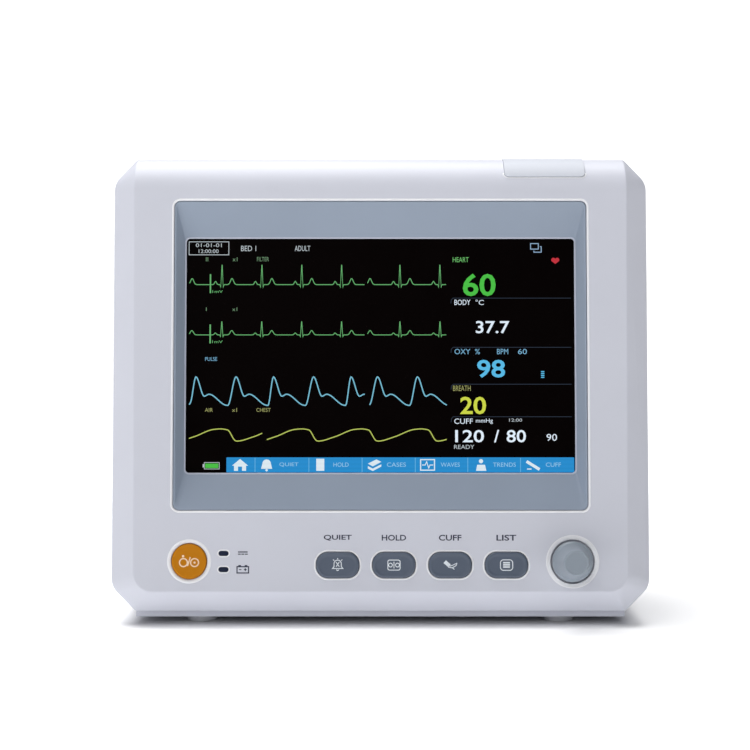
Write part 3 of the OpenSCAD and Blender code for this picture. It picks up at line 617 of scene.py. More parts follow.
# Sections of the round rims, whose near-white is a painted edge highlight: depth and radius.
POWER_BEAD = [(0.3, 9.75), (-0.03, 9.75), (-0.2, 9.4), (-0.24, 9.0), (-0.16, 8.5), (0.06, 8.1)]
POWER_BEAD += [(0.4, 7.98)]
KNOB_BEAD = [(0.2, 11.75), (-0.02, 11.75), (-0.1, 11.45), (0.02, 11.1), (0.3, 9.9), (0.6, 9.75)]
highlight_bead("power_highlight_rim", [disc(POWER_U, POWER_V, w, r) for w, r in POWER_BEAD])
highlight_bead("knob_highlight_rim", [disc(KNOB_U, KNOB_V, w, r) for w, r in KNOB_BEAD])


def window_ring(grow, w):
    """A ring round the display window, larger all round by grow."""
    return ring(0, WINDOW_V, w, WINDOW[0] + 2 * grow, WINDOW[1] + 2 * grow, 2.8 + grow, 10)


# The rim round the display window, near-white as a painted highlight of the window's edge.
WINDOW_BEAD = [(1.0, 0.12), (1.0, -0.02), (0.85, -0.1), (0.6, -0.13), (0.35, -0.06)]
WINDOW_BEAD += [(0.12, 0.14), (0.02, 0.4)]
highlight_bead("window_highlight_rim", [window_ring(grow, w) for grow, w in WINDOW_BEAD])

lens = tool(
    "alarm_cover",
    roll_block(*LENS_U, ROLL - 2.6, ROLL + 0.55, LENS_FROM, LENS_TO, LENS_CORNER, 40),
)
carve(lens, [tool("rear_half", box(*BEHIND))])
lens.data.transform(FACE)
dressed(lens, FINISH["alarm_lens"], "housing", 40)


def lens_line(grow, r):
    """A line just outside the lens, on a cylinder about the roll's axis."""
    middle, reach = (LENS_U[0] + LENS_U[1]) / 2, (LENS_U[1] - LENS_U[0]) / 2 - LENS_CORNER
    along = math.radians(84 - LENS_FROM) * ROLL
    right = [(along, LENS_CORNER + grow)]
    for i in range(9):
        a = math.pi / 2 * i / 8
        side = (LENS_CORNER + grow) * math.cos(a)
        right.append((LENS_CORNER - (LENS_CORNER + grow) * math.sin(a), side))
    points = [(middle + reach + side, s) for s, side in right]
    points += [(middle - reach - side, s) for s, side in reversed(right)]
    return [roll_point(u, r, LENS_FROM + math.degrees(s / ROLL)) for u, s in points]


# The raised rim round the alarm lens, near-white as a painted highlight along the lens seat's edge.
LENS_BEAD = [(0.85, -0.15), (0.8, 0.03), (0.6, 0.13), (0.4, 0.13), (0.2, 0.04), (0.12, -0.4)]
lens_highlight_shape = bmesh.new()
lens_highlight_rows = [
    [lens_highlight_shape.verts.new(p) for p in lens_line(grow, ROLL + rise)]
    for grow, rise in LENS_BEAD
]
for a, b in zip(lens_highlight_rows, lens_highlight_rows[1:] + lens_highlight_rows[:1]):
    for i in range(len(a) - 1):
        lens_highlight_shape.faces.new((a[i], a[i + 1], b[i + 1], b[i]))
for i in (0, -1):
    lens_highlight_shape.faces.new([row[i] for row in lens_highlight_rows])
piece("alarm_highlight_rim", lens_highlight_shape, painted_highlight_white, "housing", 50)

soften = lens.modifiers.new("soften", "BEVEL")
soften.width = 0.45 * MM
soften.segments = 4
soften.limit_method = "ANGLE"
soften.angle_limit = math.radians(50)
lens.modifiers.move(1, 0)
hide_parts("alarm_lens")

# ---- Display ----


def bezel_ring(w, width, height, v, r):
    """A ring of the bezel's section, centred across the face."""
    return ring(0, v, w, width, height, r, 8)


# Rings of depth, width, height, middle and corner radius.
BEZEL_PROFILE = [
    (7.4, 175.0, 106.0, SCREEN_V, 1.6),
    (6.5, 174.2, 105.2, SCREEN_V, 1.4),
    (6.15, 174.3, 105.3, SCREEN_V, 1.4),
    (6.0, 174.7, 105.7, SCREEN_V, 1.5),
    (5.85, 175.3, 106.3, SCREEN_V, 1.7),
    (0.35, 182.0, 136.0, WINDOW_V, 2.2),
    (0.18, 182.5, 136.5, WINDOW_V, 2.3),
    (0.12, 183.2, 137.2, WINDOW_V, 2.5),
    (0.28, 183.7, 137.7, WINDOW_V, 2.6),
    (2.6, 183.8, 137.8, WINDOW_V, 2.6),
    (2.62, 192.2, 142.2, WINDOW_V, 2.6),
    (4.1, 192.2, 142.2, WINDOW_V, 2.6),
    (4.12, 184.0, 138.0, WINDOW_V, 2.6),
    (7.4, 183.8, 137.8, WINDOW_V, 2.6),
]
shape = bmesh.new()
rows = loft(shape, [bezel_ring(*row) for row in BEZEL_PROFILE], caps=False)
for i in range(len(rows[0])):
    k = (i + 1) % len(rows[0])
    shape.faces.new((rows[0][k], rows[0][i], rows[-1][i], rows[-1][k]))
bezel = piece("bezel", shape, FINISH["bezel_plastic"], "housing", 30)
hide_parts("display_bezel")

# The lip round the screen, paler than the bezel as a painted highlight: growth and depth.
LIP_PROFILE = [(0.1, 6.5), (0.1, 6.0), (0.2, 5.85), (0.45, 5.74), (0.72, 5.7), (0.82, 5.8)]
LIP_PROFILE += [(0.82, 6.1)]
lip = bmesh.new()
loft(
    lip,
    [
        bezel_ring(w, SCREEN[0] + 2 * grow, SCREEN[1] + 2 * grow, SCREEN_V, 1.45 + grow)
        for grow, w in LIP_PROFILE
    ],
    caps=False,
)
lip.verts.ensure_lookup_table()
piece("screen_highlight_lip", lip, painted_highlight_lip, "housing", 50)

glass = piece(
    "screen_window",
    lofted(
        [
            ring(0, SCREEN_V, w, SCREEN[0] + g, SCREEN[1] + g, 2, 6)
            for w, g in ((7.5, 5.4), (7.62, 6), (8.5, 6), (8.6, 5.8))
        ]
    ),
    FINISH["screen_glass"],
    "housing",
)
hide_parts("screen_lens")

# ---- Thin marks: printed labels and what the display shows ----


class Marks:
    """Thin flat marks of one finish. put() turns a mark's own x and y into face u and v."""

    def __init__(self, name, finish, slot, front, back, put=lambda x, y: (x, y)):
        self.name, self.finish, self.slot = name, finish, slot
        self.front, self.back, self.put = front, back, put
        self.shape = bmesh.new()

    def area(self, points):
        flat = [self.put(x, y) for x, y in points]
        rows = [
            [self.shape.verts.new((u, w, v)) for u, v in flat] for w in (self.front, self.back)
        ]
        count = len(flat)
        self.shape.faces.new(rows[0])
        self.shape.faces.new(rows[1])
        for i in range(count):
            k = (i + 1) % count
            self.shape.faces.new((rows[0][i], rows[0][k], rows[1][k], rows[1][i]))

    def bar(self, x0, y0, x1, y1, r=0.0):
        cx, cy = (x0 + x1) / 2, (y0 + y1) / 2
        if r:
            outline = rounded(abs(x1 - x0), abs(y1 - y0), r, 5)
            self.area([(cx + x, cy + y) for x, y in outline])
        else:
            self.area([(x0, y0), (x1, y0), (x1, y1), (x0, y1)])

    def spot(self, x, y, r, count=20):
        turns = [2 * math.pi * i / count for i in range(count)]
        self.area([(x + r * math.cos(a), y + r * math.sin(a)) for a in turns])

    def line(self, points, width, closed=False):
        """A pen line with mitred corners."""
        points = [Vector(p) for p in points]
        count = len(points)
        left, right = [], []
        for i, p in enumerate(points):
            before = points[(i - 1) % count] if closed or i else None
            after = points[(i + 1) % count] if closed or i < count - 1 else None
            a = (p - before).normalized() if before is not None else (after - p).normalized()
            b = (after - p).normalized() if after is not None else a
            way = a + b
            way = way.normalized() if way.length > 1e-6 else a
            side = Vector((-way.y, way.x))
            reach = width / 2 / max(abs(side.dot(Vector((-a.y, a.x)))), 0.4)
            left.append(self.put(*(p + side * reach)))
            right.append(self.put(*(p - side * reach)))
        rows = []
        for u_v in (left, right):
            for w in (self.front, self.back):
                rows.append([self.shape.verts.new((u, w, v)) for u, v in u_v])
        lf, lb, rf, rb = rows
        for i in range(count if closed else count - 1):
            k = (i + 1) % count
            for a, b in ((lf, rf), (rf, rb), (rb, lb), (lb, lf)):
                self.shape.faces.new((a[i], a[k], b[k], b[i]))
        if not closed:
            for i in (0, count - 1):
                self.shape.faces.new((lf[i], rf[i], rb[i], lb[i]))

    def loop(self, x, y, r, width, a0=0, a1=360, steps=28):
        closed = abs(a1 - a0) >= 360
        points = arc(x, y, r, a0, a1, steps)
        self.line(points[:-1] if closed else points, width, closed)

    def words(self, text, x0, x1, y_low, y_high, weight=0.0):
        """Lettering that fills the box from x0 to x1 and from its foot to its top."""
        data = bpy.data.curves.new("lettering", "FONT")
        data.body = text
        data.offset = weight
        data.resolution_u = 3
        data.extrude = 0.5
        letter = bpy.data.objects.new("lettering", data)
        scene.collection.objects.link(letter)
        graph = bpy.context.evaluated_depsgraph_get()
        mesh = bpy.data.meshes.new_from_object(letter.evaluated_get(graph))
        xs = [v.co.x for v in mesh.vertices]
        ys = [v.co.y for v in mesh.vertices]
        wide, tall = max(xs) - min(xs), max(ys) - min(ys)
        made = bmesh.new()
        made.from_mesh(mesh)
        bmesh.ops.remove_doubles(made, verts=made.verts, dist=1e-5)
        for v in made.verts:
            x = x0 + (v.co.x - min(xs)) / wide * (x1 - x0)
            y = y_low + (v.co.y - min(ys)) / tall * (y_high - y_low)
            u, up = self.put(x, y)
            v.co = Vector((u, self.front if v.co.z > 0 else self.back, up))
        made.to_mesh(mesh)
        made.free()
        self.shape.from_mesh(mesh)
        bpy.data.meshes.remove(mesh)
        bpy.data.objects.remove(letter)
        bpy.data.curves.remove(data)

    def done(self, body="housing"):
        return piece(self.name, self.shape, self.finish, body)


def screen_marks(name, colour, strength=1.0, layer=0):
    """Marks on the display, in screen coordinates."""
    front = 7.46 - 0.02 * layer
    finish = lit(name, colour, strength)
    return Marks(
        name,
        finish,
        "screen_glass",
        front,
        front + 0.015,
        lambda x, y: (x - SCREEN[0] / 2, SCREEN_V + SCREEN[1] / 2 - y),
    )


def srgb(*levels):
    """Linear light for display levels from 0 to 255."""
    return tuple((c / 255) ** 2.2 for c in levels)


# Pen widths, and the steps from point to point, beat to beat and breath to breath.
PEN = 0.35
PULSE_PEN = 0.52
BREATH_PEN = 0.45
TRACE_STEP = 0.35
BEAT = 17.95
BREATH = 26.7


def heart_trace(baseline, r_top, s_low, p_high, t_high, beats, start, end):
    """One heart-signal line: a small bump, a spike and a broad bump for each beat."""
    xs = [start + TRACE_STEP * i for i in range(int((end - start) / TRACE_STEP) + 1)]
    points = []
    for x in xs:
        y = baseline
        near = False
        for b in beats:
            y -= p_high * math.exp(-(((x - b + 2.9) / 0.6) ** 2))
            y -= t_high * math.exp(-(((x - b - 4.5) / 0.95) ** 2))
            near = near or abs(x - b) < 0.95
        if not near:
            points.append((x, y))
    for b in beats:
        if start < b < end:
            for s in (-1, 1):
                points += [(b + s * 0.92, baseline), (b + s * 0.55, s_low), (b + s * 0.04, r_top)]
    return sorted(points)


def smooth_line(keys, step=0.3):
    """A smooth curve through key points, level at its peaks."""
    slopes = []
    for i in range(len(keys)):
        if i in (0, len(keys) - 1):
            slopes.append(0.0)
            continue
        (x0, y0), (x1, y1), (x2, y2) = keys[i - 1 : i + 2]
        a, b = (y1 - y0) / (x1 - x0), (y2 - y1) / (x2 - x1)
        slopes.append(0.0 if a * b <= 0 else 2 * a * b / (a + b))
    points = []
    for (x0, y0), (x1, y1), m0, m1 in zip(keys, keys[1:], slopes, slopes[1:]):
        count = max(1, int((x1 - x0) / step))
        for k in range(count):
            t = k / count
            h = x1 - x0
            y = (
                (2 * t**3 - 3 * t**2 + 1) * y0
                + (t**3 - 2 * t**2 + t) * h * m0
                + (3 * t**2 - 2 * t**3) * y1
                + (t**3 - t**2) * h * m1
            )
            points.append((x0 + t * h, y))
    return points + [keys[-1]]


def clipped(points, start, end):
    """The points whose x lies between start and end."""
    return [p for p in points if start <= p[0] <= end]


BEATS_A = [15.7 + BEAT * i for i in range(4)]
BEATS_B = [95.8, 113.8]

trace = screen_marks("trace_heart", srgb(104, 180, 112))
for low, r, s, p, t in ((20.5, 11.7, 21.7, 1.5, 2.8), (43.2, 37.3, 44.0, 0.9, 2.0)):
    before = [BEATS_A[0] - BEAT]
    trace.line(heart_trace(low, r, s, p, t, before + BEATS_A + [BEATS_A[-1] + BEAT], 1.1, 79.9), PEN)
    trace.line(heart_trace(low, r, s, p, t, [BEATS_B[0] - BEAT] + BEATS_B, 81.2, 116.8), PEN)
for top, low in ((15.8, 24.3), (38.5, 47.0)):
    trace.line([(10.5, top), (10.5, low)], 0.62)
    trace.words("1mV", 11.4, 16.1, low - 0.1, low - 1.3)
trace.done()

pulse = screen_marks("trace_pulse", srgb(122, 192, 216))


def pulse_line(peaks):
    """The pressure wave: a steep rise to each peak, a notch and a slow fall."""
    keys = []
    for x in peaks:
        keys += [(x, 62.1), (x + 3.8, 70.8), (x + 5.9, 69.9), (x + 13.5, 74.8), (x + 14.4, 74.9)]
    return smooth_line(keys)


A_PEAKS = [4.2, 22.2, 39.0, 57.0, 73.8]
first = [(1.2, 74.5), (1.9, 73.5), (4.2, 62.1)]
pulse.line(smooth_line(first)[:-1] + clipped(pulse_line(A_PEAKS), 4.2, 80.3), PULSE_PEN)
pulse.line(
    smooth_line([(82.1, 74.6), (85.7, 62.1)])[:-1] + clipped(pulse_line([85.7, 103.6]), 85.7, 116.9),
    PULSE_PEN,
)
pulse.done()

breath = screen_marks("trace_breath", srgb(186, 200, 96))


def breath_line(crests):
    """The breathing wave: a slow climb to each crest and a short fall."""
    keys = []
    for c in crests:
        keys += [(c - 19.3, 90.9), (c - 12, 89.0), (c - 3.2, 85.7), (c, 85.45)]
        keys += [(c + 3.1, 85.9), (c + 6.7, 90.75)]
    keys.append((crests[-1] + 7.6, 90.9))
    return smooth_line(keys)


breath.line(clipped(breath_line([15.4 - BREATH, 15.4, 15.4 + BREATH]), 1.1, 34.1), BREATH_PEN)
SECOND_BREATHS = [51.8 - BREATH, 51.8, 78.5, 105.3, 132.0]
breath.line(clipped(breath_line(SECOND_BREATHS), 35.9, 116.9), BREATH_PEN)
breath.done()

green = screen_marks("figures_green", srgb(75, 190, 70))
green.words("60", 124.1, 138.9, 25.7, 15.5, 0.018)
green.bar(8.6, 100.95, 14.5, 103.0)
green.done()

titles = screen_marks("titles_green", srgb(110, 192, 108))
titles.words("HEART", 119.6, 126.8, 10.3, 8.1)
titles.done()

pale_green = screen_marks("notes_green", srgb(110, 146, 112))
pale_green.words("II", 8.4, 9.4, 9.9, 8.1)
pale_green.words("x1", 20.4, 22.6, 9.9, 8.1)
pale_green.words("FILTER", 31.4, 36.8, 9.9, 8.0)
pale_green.words("I", 8.55, 8.85, 32.4, 30.8)
pale_green.words("x1", 20.4, 22.6, 32.4, 30.8)
pale_green.done()

white = screen_marks("figures_white", srgb(228, 242, 255))
white.words("37.7", 129.9, 145.0, 42.5, 36.9, 0.012)
for text, x0, x1 in (("120", 120.5, 133.4), ("/", 137.9, 140.2), ("80", 143.5, 152.2)):
    white.words(text, x0, x1, 91.5, 85.9, 0.012)
white.words("90", 161.4, 166.1, 90.8, 87.7)
for text, x0, x1 in (("BODY", 120.3, 127.5), ("°C", 129.8, 133.5)):
    white.words(text, x0, x1, 29.7, 27.3)
for text, x0, x1 in (("CUFF", 120.1, 128.4), ("mmHg", 129.8, 137.4)):
    white.words(text, x0, x1, 83.2, 80.8)
white.done()

notes = screen_marks("notes_white", srgb(188, 198, 204))
notes.line([(0.8, 1.1), (18.7, 1.1), (18.7, 7.0), (0.8, 7.0)], 0.3, True)
notes.words("01-01-01", 3.8, 15.5, 3.5, 1.8)
notes.words("12:00:00", 5.1, 14.1, 6.2, 4.5)
notes.words("BED 1", 24.2, 31.0, 5.3, 2.9)
notes.words("ADULT", 48.4, 55.4, 5.3, 2.9)
notes.words("12:00", 144.7, 150.5, 82.2, 80.8)
notes.words("READY", 120.0, 129.0, 94.4, 92.6)
notes.line([(8.2, 100.5), (14.9, 100.5), (14.9, 103.4), (8.2, 103.4)], 0.25, True)
notes.bar(7.5, 101.2, 8.0, 102.7)
notes.done()

blue = screen_marks("figures_blue", srgb(88, 186, 232))
blue.words("98", 130.4, 143.0, 62.5, 54.4, 0.018)
for i in range(4):
    y = 59.5 + 0.85 * i
    blue.bar(159.1, y, 160.6, y + 0.5)
blue.done()

faint_blue = screen_marks("notes_blue", srgb(120, 176, 210))
OXYGEN_ROW = (("OXY", 120.3, 127.4), ("%", 129.5, 131.7), ("BPM", 139.4, 144.4), ("60", 148.8, 152.8))
for text, x0, x1 in OXYGEN_ROW:
    faint_blue.words(text, x0, x1, 51.9, 49.5)
faint_blue.words("PULSE", 8.3, 13.7, 54.9, 53.2)
faint_blue.done()

yellow = screen_marks("figures_yellow", srgb(206, 216, 72))
yellow.words("20", 122.8, 134.4, 78.9, 71.0, 0.018)
yellow.done()

dim = screen_marks("notes_yellow", srgb(158, 160, 100))
dim.words("BREATH", 119.6, 127.5, 68.4, 66.0)
for text, x0, x1 in (("AIR", 8.3, 11.9), ("x1", 20.5, 22.7), ("CHEST", 31.4, 37.8)):
    dim.words(text, x0, x1, 77.8, 76.1)
dim.done()

rules = screen_marks("rules", srgb(44, 54, 68))
for y in (26.6, 48.8, 65.4, 80.0):
    rules.line([(118.7, y + 2.4), (118.9, y + 0.8), (119.7, y), (172.8, y)], 0.28)
rules.done()

heart = screen_marks("heart_sign", srgb(196, 52, 62))
heart.area(
    [(165.8, 11.1)] + arc(166.65, 9.3, 0.98, 30, -150, 10) + arc(164.95, 9.3, 0.98, -30, -210, 10)
)
heart.done()

windows = screen_marks("window_sign", srgb(150, 182, 214))
windows.line([(154.7, 1.9), (158.2, 1.9), (158.2, 4.4), (154.7, 4.4)], 0.35, True)
windows.line([(158.9, 3.3), (159.5, 3.3), (159.5, 5.8), (156.2, 5.8), (156.2, 5.1)], 0.35)
windows.done()

tabs = screen_marks("task_bar", srgb(40, 140, 206))
TAB_EDGES = [18.1, 30.9, 55.0, 78.8, 102.6, 126.1, 149.7, 173.75]
tabs.bar(TAB_EDGES[0], 98.2, TAB_EDGES[-1], 104.95, 0.3)
tabs.done()

dividers = screen_marks("task_dividers", srgb(104, 178, 226), 1.0, 1)
for x in TAB_EDGES[1:-1]:
    dividers.bar(x - 0.16, 98.4, x + 0.16, 104.8)
dividers.done()

signs = screen_marks("task_signs", srgb(222, 236, 244), 1.0, 1)
tab_words = screen_marks("task_words", srgb(150, 200, 232), 1.0, 1)
roof = [(20.6, 101.9), (24.2, 98.9), (27.8, 101.9), (26.9, 101.9), (26.9, 104.2)]
door = [(25.1, 104.2), (25.1, 102.3), (23.3, 102.3), (23.3, 104.2)]
signs.area(roof + door + [(21.5, 104.2), (21.5, 101.9)])
signs.area(arc(36.1, 101.0, 1.9, 180, 360, 10) + [(38.6, 103.3), (33.6, 103.3)])
signs.spot(36.1, 103.9, 0.55)
signs.area([(58.3, 98.8), (61.9, 98.8), (61.9, 104.2), (58.3, 104.2)])
signs.area([(81.4, 101.0), (85.2, 99.1), (87.4, 100.2), (83.6, 102.2)])
signs.area([(81.4, 102.1), (83.6, 103.2), (87.4, 101.3), (87.4, 102.3), (83.6, 104.3), (81.4, 103.2)])
signs.line([(105.0, 99.2), (111.2, 99.2), (111.2, 103.9), (105.0, 103.9)], 0.5, True)
blip = [(105.6, 101.6), (107.0, 101.6), (107.7, 100.2), (108.6, 103.0), (109.2, 101.6), (110.7, 101.6)]
signs.line(blip, 0.4)
signs.spot(132.0, 99.9, 0.95)
signs.area([(129.8, 104.2), (130.3, 101.5), (133.8, 101.5), (134.4, 104.2)])
signs.line([(152.4, 100.0), (155.0, 101.6), (158.2, 103.6)], 1.3)
signs.line([(152.6, 103.4), (154.6, 103.4)], 0.5)
TAB_WORDS = {"QUIET": 41.8, "HOLD": 66.0, "CASES": 89.9, "WAVES": 114.0, "TRENDS": 137.4}
TAB_WORDS["CUFF"] = 161.0
LETTER_W = 1.7
for word, x in TAB_WORDS.items():
    tab_words.words(word, x, x + LETTER_W * len(word), 102.4, 100.5)
signs.done()
tab_words.done()

# ---- Controls ----


def key_shape(u, v):
    """A pill-shaped key with rolled edges, a shallow dish, a flange and a stem."""

    def at(inset, w):
        return ring(u, v, w, KEY_W - 2 * inset, KEY_H - 2 * inset, max(KEY_R - inset, 0.5), 12)

    return lofted(
        [
            ring(u, v, 8.7, 4, 4, 1.99, 12),
            ring(u, v, 3.9, 4, 4, 1.99, 12),
            ring(u, v, 3.9, KEY_W + 2.6, KEY_H + 2.4, KEY_R + 1, 12),
            ring(u, v, 2.6, KEY_W + 2.6, KEY_H + 2.4, KEY_R + 1, 12),
            at(0.0, 2.6),
            at(0.0, -0.25),
            at(0.08, -0.55),
            at(0.3, -0.82),
            at(0.62, -0.96),
            at(0.95, -0.99),
            at(1.25, -0.93),
            at(1.6, -0.84),
            at(2.2, -0.78),
        ]
    )


KEYS = ("mute_key", "hold_key", "cuff_key", "menu_key")
for name, u in zip(KEYS, KEY_U):
    key_cap = key_shape(u, KEY_V)
    cap = piece(f"{name}_cap", key_cap, FINISH["key_plastic"], f"{name}_body", 60)
    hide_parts(name)

POWER_PROFILE = [
    (8.7, 2.0),
    (3.9, 2.0),
    (3.9, POWER_R + 1.6),
    (2.6, POWER_R + 1.6),
    (2.6, POWER_R),
    (-0.3, POWER_R),
    (-0.62, POWER_R - 0.1),
    (-0.88, POWER_R - 0.34),
    (-0.98, POWER_R - 0.7),
    (-0.97, POWER_R - 1.0),
    (-0.9, POWER_R - 1.6),
    (-0.8, POWER_R - 3.2),
]
button = piece(
    "power_cap",
    lofted([disc(POWER_U, POWER_V, w, r) for w, r in POWER_PROFILE]),
    FINISH["amber_plastic"],
    "power_button_body",
    60,
)
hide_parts("power_button")

KNOB_PROFILE = [
    (-1.2, 3.1),
    (-1.2, 8.6),
    (-1.0, 8.85),
    (0.2, 9.0),
    (0.55, 8.95),
    (0.85, 8.75),
    (1.0, 8.4),
    (1.6, 7.85),
    (3.2, 7.3),
    (6.0, 6.75),
    (9.5, 6.25),
    (13.0, 5.85),
    (15.0, 5.65),
    (15.6, 5.5),
    (15.9, 5.25),
    (15.98, 4.95),
    (15.9, 4.7),
    (15.78, 4.4),
]
shape = bmesh.new()
rows = loft(shape, [disc(KNOB_U, KNOB_V, -h, r) for h, r in KNOB_PROFILE], caps=False)
shape.faces.new(rows[-1])
bore = loft(shape, [disc(KNOB_U, KNOB_V, w, 3.1) for w in (1.2, -11.9)], caps=False)
shape.faces.new(bore[-1])
knob = piece("knob_cap", shape, FINISH["knob_plastic"], "knob_body", 50)
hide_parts("knob")

lamps = bmesh.new()
for v in LAMP_V:
    loft(
        lamps,
        [
            ring(LAMP_U, v, 8.2, 4.4, 2.2, 1.09, 8),
            ring(LAMP_U, v, 0.0, 4.4, 2.2, 1.09, 8),
            ring(LAMP_U, v, -0.1, 4.2, 2.0, 0.99, 8),
            ring(LAMP_U, v, -0.15, 3.7, 1.5, 0.74, 8),
        ],
    )
lamp = piece("status_lamps", lamps, FINISH["status_lens"], "housing", 50)
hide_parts("status_lenses")

# ---- Printed labels and icons ----

print_marks = Marks("case_labels", label_ink, "case_plastic", -0.03, 0.05)
for word, half, u in zip(("QUIET", "HOLD", "CUFF", "LIST"), (6.2, 5.4, 5.0, 4.4), KEY_U):
    print_marks.words(word, u - half, u + half, 24.1, 26.7, 0.02)
BATTERY_U, BATTERY_V = -60.81, 11.5
battery_case = ((-2.55, -1.6), (2.55, -1.6), (2.55, 1.15), (-2.55, 1.15))
print_marks.line([(BATTERY_U + x, BATTERY_V + y) for x, y in battery_case], 0.5, True)
for x in (-1.4, 1.4):
    print_marks.bar(BATTERY_U + x - 0.6, BATTERY_V + 1.3, BATTERY_U + x + 0.6, BATTERY_V + 1.85)
print_marks.bar(BATTERY_U - 1.7, BATTERY_V - 0.35, BATTERY_U - 0.6, BATTERY_V + 0.05)
print_marks.bar(BATTERY_U + 0.5, BATTERY_V - 0.35, BATTERY_U + 1.7, BATTERY_V + 0.05)
print_marks.bar(BATTERY_U + 0.9, BATTERY_V - 0.75, BATTERY_U + 1.3, BATTERY_V + 0.45)
print_marks.done()

direct = Marks("supply_mark", ink("supply_ink", (0.075, 0.08, 0.11)), "case_plastic", -0.03, 0.05)
direct.bar(-63.0, 18.85, -58.7, 19.4)
for x in (-63.0, -61.45, -59.9):
    direct.bar(x, 17.9, x + 1.25, 18.4)
direct.done()


def key_marks(name):
    """Marks in the dished top of a key."""
    return Marks(name, icon_ink, "key_plastic", CAP_INK, CAP_INK + 0.12)


KEY_PEN = 0.38
u, v = KEY_U[0], KEY_V
bell = key_marks("mute_icon")
bell.line(
    [(u - 2.3, v - 1.5), (u - 1.6, v - 0.7)]
    + arc(u, v + 0.6, 1.6, 180, 0, 12)
    + [(u + 1.6, v - 0.7), (u + 2.3, v - 1.5)],
    KEY_PEN,
    True,
)
bell.line([(u - 0.7, v + 1.3), (u + 0.7, v - 0.7)], KEY_PEN)
bell.line([(u - 0.7, v - 0.7), (u + 0.7, v + 1.3)], KEY_PEN)
bell.loop(u, v - 1.9, 0.5, KEY_PEN, 180, 360, 8)
for s in (-1, 1):
    bell.line([(u + s * 2.1, v + 2.4), (u + s * 1.5, v + 2.0)], KEY_PEN)
bell.line([(u, v + 3.1), (u, v + 2.6)], KEY_PEN)
bell.done("mute_key_body")

u = KEY_U[1]
hold = key_marks("hold_icon")
hold.line([(u + x, v + y) for x, y in rounded(5.4, 4.4, 0.8, 5)], KEY_PEN, True)
hold.line([(u, v + 1.5), (u, v - 1.5)], KEY_PEN)
for s in (-1, 1):
    hold.loop(u + s * 1.55, v, 0.85, KEY_PEN, 0, 360, 16)
hold.done("hold_key_body")

u = KEY_U[2]
cuff = key_marks("cuff_icon")
cuff.area([(u - 3.0, v + 0.9), (u - 1.9, v + 2.1), (u + 0.2, v + 0.3), (u - 0.9, v - 0.9)])
cuff.line([(u - 0.4, v - 0.5), (u + 1.0, v - 0.1), (u + 3.0, v + 0.9)], KEY_PEN)
cuff.line([(u - 0.9, v - 0.9), (u + 0.9, v - 1.2), (u + 2.6, v - 0.2), (u + 3.0, v + 0.9)], KEY_PEN)
cuff.line([(u + 0.9, v - 1.2), (u + 1.8, v - 1.9)], KEY_PEN)
cuff.done("cuff_key_body")

u = KEY_U[3]
menu = key_marks("menu_icon")
menu.line([(u + x, v + y) for x, y in rounded(5.4, 4.6, 1.3, 6)], KEY_PEN, True)
for row in range(3):
    menu.bar(u - 1.5, v + 0.7 - row * 0.95, u + 1.5, v + 1.4 - row * 0.95)
menu.done("menu_key_body")

power = Marks("power_icon", button_ink, "amber_plastic", CAP_INK, CAP_INK + 0.16)
u, v = POWER_U, POWER_V
power.loop(u - 2.4, v - 0.5, 1.75, 0.55)
power.spot(u - 2.6, v + 2.3, 0.55)
power.line([(u - 0.6, v - 2.0), (u + 0.6, v + 1.9)], 0.5)
power.loop(u + 2.5, v - 0.5, 1.75, 0.55)
power.spot(u + 2.5, v - 0.5, 0.5)
power.done("power_button_body")

# ---- CAD nodes that are shown as they are ----

# Width of the softened edges in millimetres, node by node.
EDGES = {
    "rear_cover": 0.5,
    "carry_handle": 0.8,
    "handle_grip": 0.6,
    "battery_door": 0.4,
    "sensor_panel": 0.3,
    "feet": 0.6,
    "ecg_socket": 0.4,
    "oxygen_socket": 0.4,
    "temperature_sockets": 0.3,
    "cuff_socket": 0.4,
    "ground_post": 0.3,
    "network_jack": 0.2,
    "dc_jack": 0.2,
}
for name, node in frame["nodes"].items():
    if node.hide_render:
        continue
    node.data.materials.clear()
    node.data.materials.append(FINISH[SLOT_OF[name]])
    if name in EDGES:
        weld = node.modifiers.new("weld", "WELD")
        weld.merge_threshold = 0.000005
        flat = node.modifiers.new("flat", "DECIMATE")
        flat.decimate_type = "DISSOLVE"
        flat.angle_limit = math.radians(0.5)
        soft = node.modifiers.new("soft", "BEVEL")
        soft.width = EDGES[name] * MM
        soft.segments = 2
        soft.limit_method = "ANGLE"
        soft.angle_limit = math.radians(32)
        weighted = node.modifiers.new("weighted", "WEIGHTED_NORMAL")
        weighted.keep_sharp = True

# ---- Floor, room light and lamps ----

floor_mesh = bpy.data.meshes.new("floor")
floor_shape = bmesh.new()
bmesh.ops.create_grid(floor_shape, x_segments=1, y_segments=1, size=30)
floor_shape.to_mesh(floor_mesh)
floor_shape.free()
floor = bpy.data.objects.new("floor", floor_mesh)
scene.collection.objects.link(floor)
floor_finish, tree, surface, place = shader("floor_white_glow")
tree.links.new(
    tint(tree, (0.9, 0.9, 0.905), spread(tree, noise(tree, place, 3), 0.995, 1.005)),
    surface.inputs["Base Color"],
)
surface.inputs["Roughness"].default_value = 0.7
surface.inputs["Specular IOR Level"].default_value = 0.2
surface.inputs["Emission Color"].default_value = (1, 1, 1, 1)


def vector_step(operation, value, other=None):
    """One step of the distance from a point on the floor to the case's footprint."""
    node = tree.nodes.new("ShaderNodeVectorMath")
    node.operation = operation
    tree.links.new(value, node.inputs[0])
    if other is not None:
        node.inputs[1].default_value = other
    return node.outputs["Value" if operation == "LENGTH" else "Vector"]
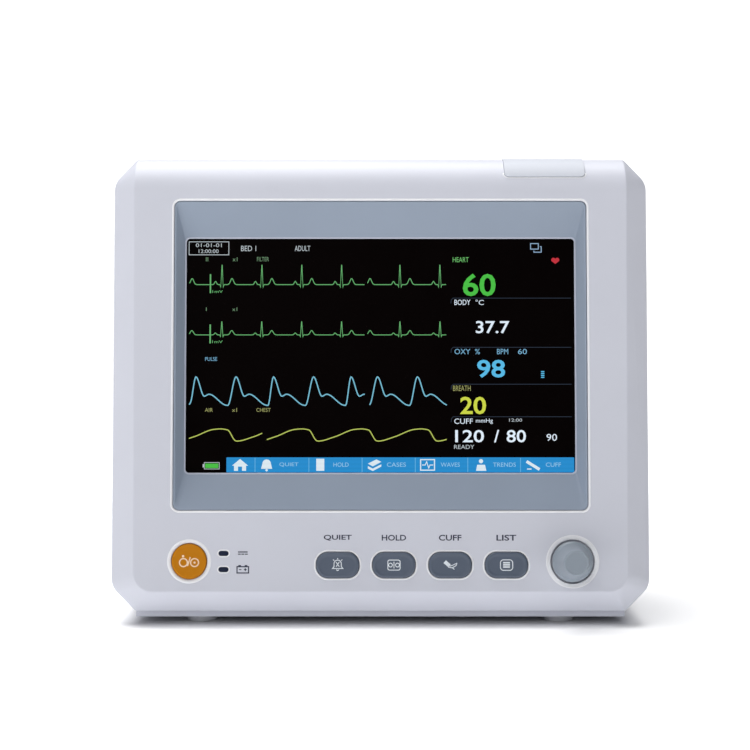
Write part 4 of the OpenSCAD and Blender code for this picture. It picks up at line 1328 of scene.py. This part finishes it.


# The floor glows outside the case's footprint, a painted light that keeps the floor white and lights the case from
# below; with no glow under the case, this paints the shadow beneath it.
PRINT_FRONT = cad_low[1] + 0.029
PRINT_BACK = cad_high[1] - 0.012
PRINT_HALF = (0.107, (PRINT_BACK - PRINT_FRONT) / 2, 1)
PRINT_MIDDLE = (0, (PRINT_BACK + PRINT_FRONT) / 2, 0)
off_middle = vector_step("ABSOLUTE", vector_step("SUBTRACT", place, PRINT_MIDDLE))
beyond = vector_step("MAXIMUM", vector_step("SUBTRACT", off_middle, PRINT_HALF), (0, 0, 0))
away = vector_step("LENGTH", beyond)
glow = tree.nodes.new("ShaderNodeMath")
for k, (near, far, most) in enumerate(((0.0, 0.016, 0.38), (0.25, 1.3, 0.68))):
    fill = tree.nodes.new("ShaderNodeMapRange")
    fill.interpolation_type = "SMOOTHSTEP"
    fill.inputs["From Min"].default_value = near
    fill.inputs["From Max"].default_value = far
    fill.inputs["To Max"].default_value = most
    tree.links.new(away, fill.inputs["Value"])
    tree.links.new(fill.outputs["Result"], glow.inputs[k])
tree.links.new(glow.outputs["Value"], surface.inputs["Emission Strength"])
floor.data.materials.append(floor_finish)

ROOM_LIGHT = 0.08
world = bpy.data.worlds.new("room")
scene.world = world
world.use_nodes = True
nodes, links = world.node_tree.nodes, world.node_tree.links
background = nodes["Background"]
path = nodes.new("ShaderNodeLightPath")
level = nodes.new("ShaderNodeMapRange")
level.inputs["To Min"].default_value = ROOM_LIGHT
level.inputs["To Max"].default_value = 1.2
links.new(path.outputs["Is Camera Ray"], level.inputs["Value"])
links.new(level.outputs["Result"], background.inputs["Strength"])
background.inputs["Color"].default_value = (0.985, 0.99, 1.0, 1)


def softbox(name, at, towards, width, height, power):
    """A rectangular area light that faces a point."""
    data = bpy.data.lights.new(name, "AREA")
    data.shape = "RECTANGLE"
    data.size, data.size_y = width, height
    data.energy = power
    lamp = bpy.data.objects.new(name, data)
    scene.collection.objects.link(lamp)
    lamp.location = at
    lamp.rotation_euler = (Vector(towards) - Vector(at)).to_track_quat("-Z", "Y").to_euler()


softbox("top_light", (-0.25, 0.22, 1.45), (0, 0, 0.1), 1.4, 1.2, 30)
softbox("left_light", (-1.5, -0.9, 0.5), (0, 0, 0.1), 0.9, 0.9, 0.7)
softbox("front_light", (-0.65, -1.6, 0.85), (0, 0, 0.1), 1.2, 0.7, 5.0)

scene.view_settings.view_transform = "Standard"
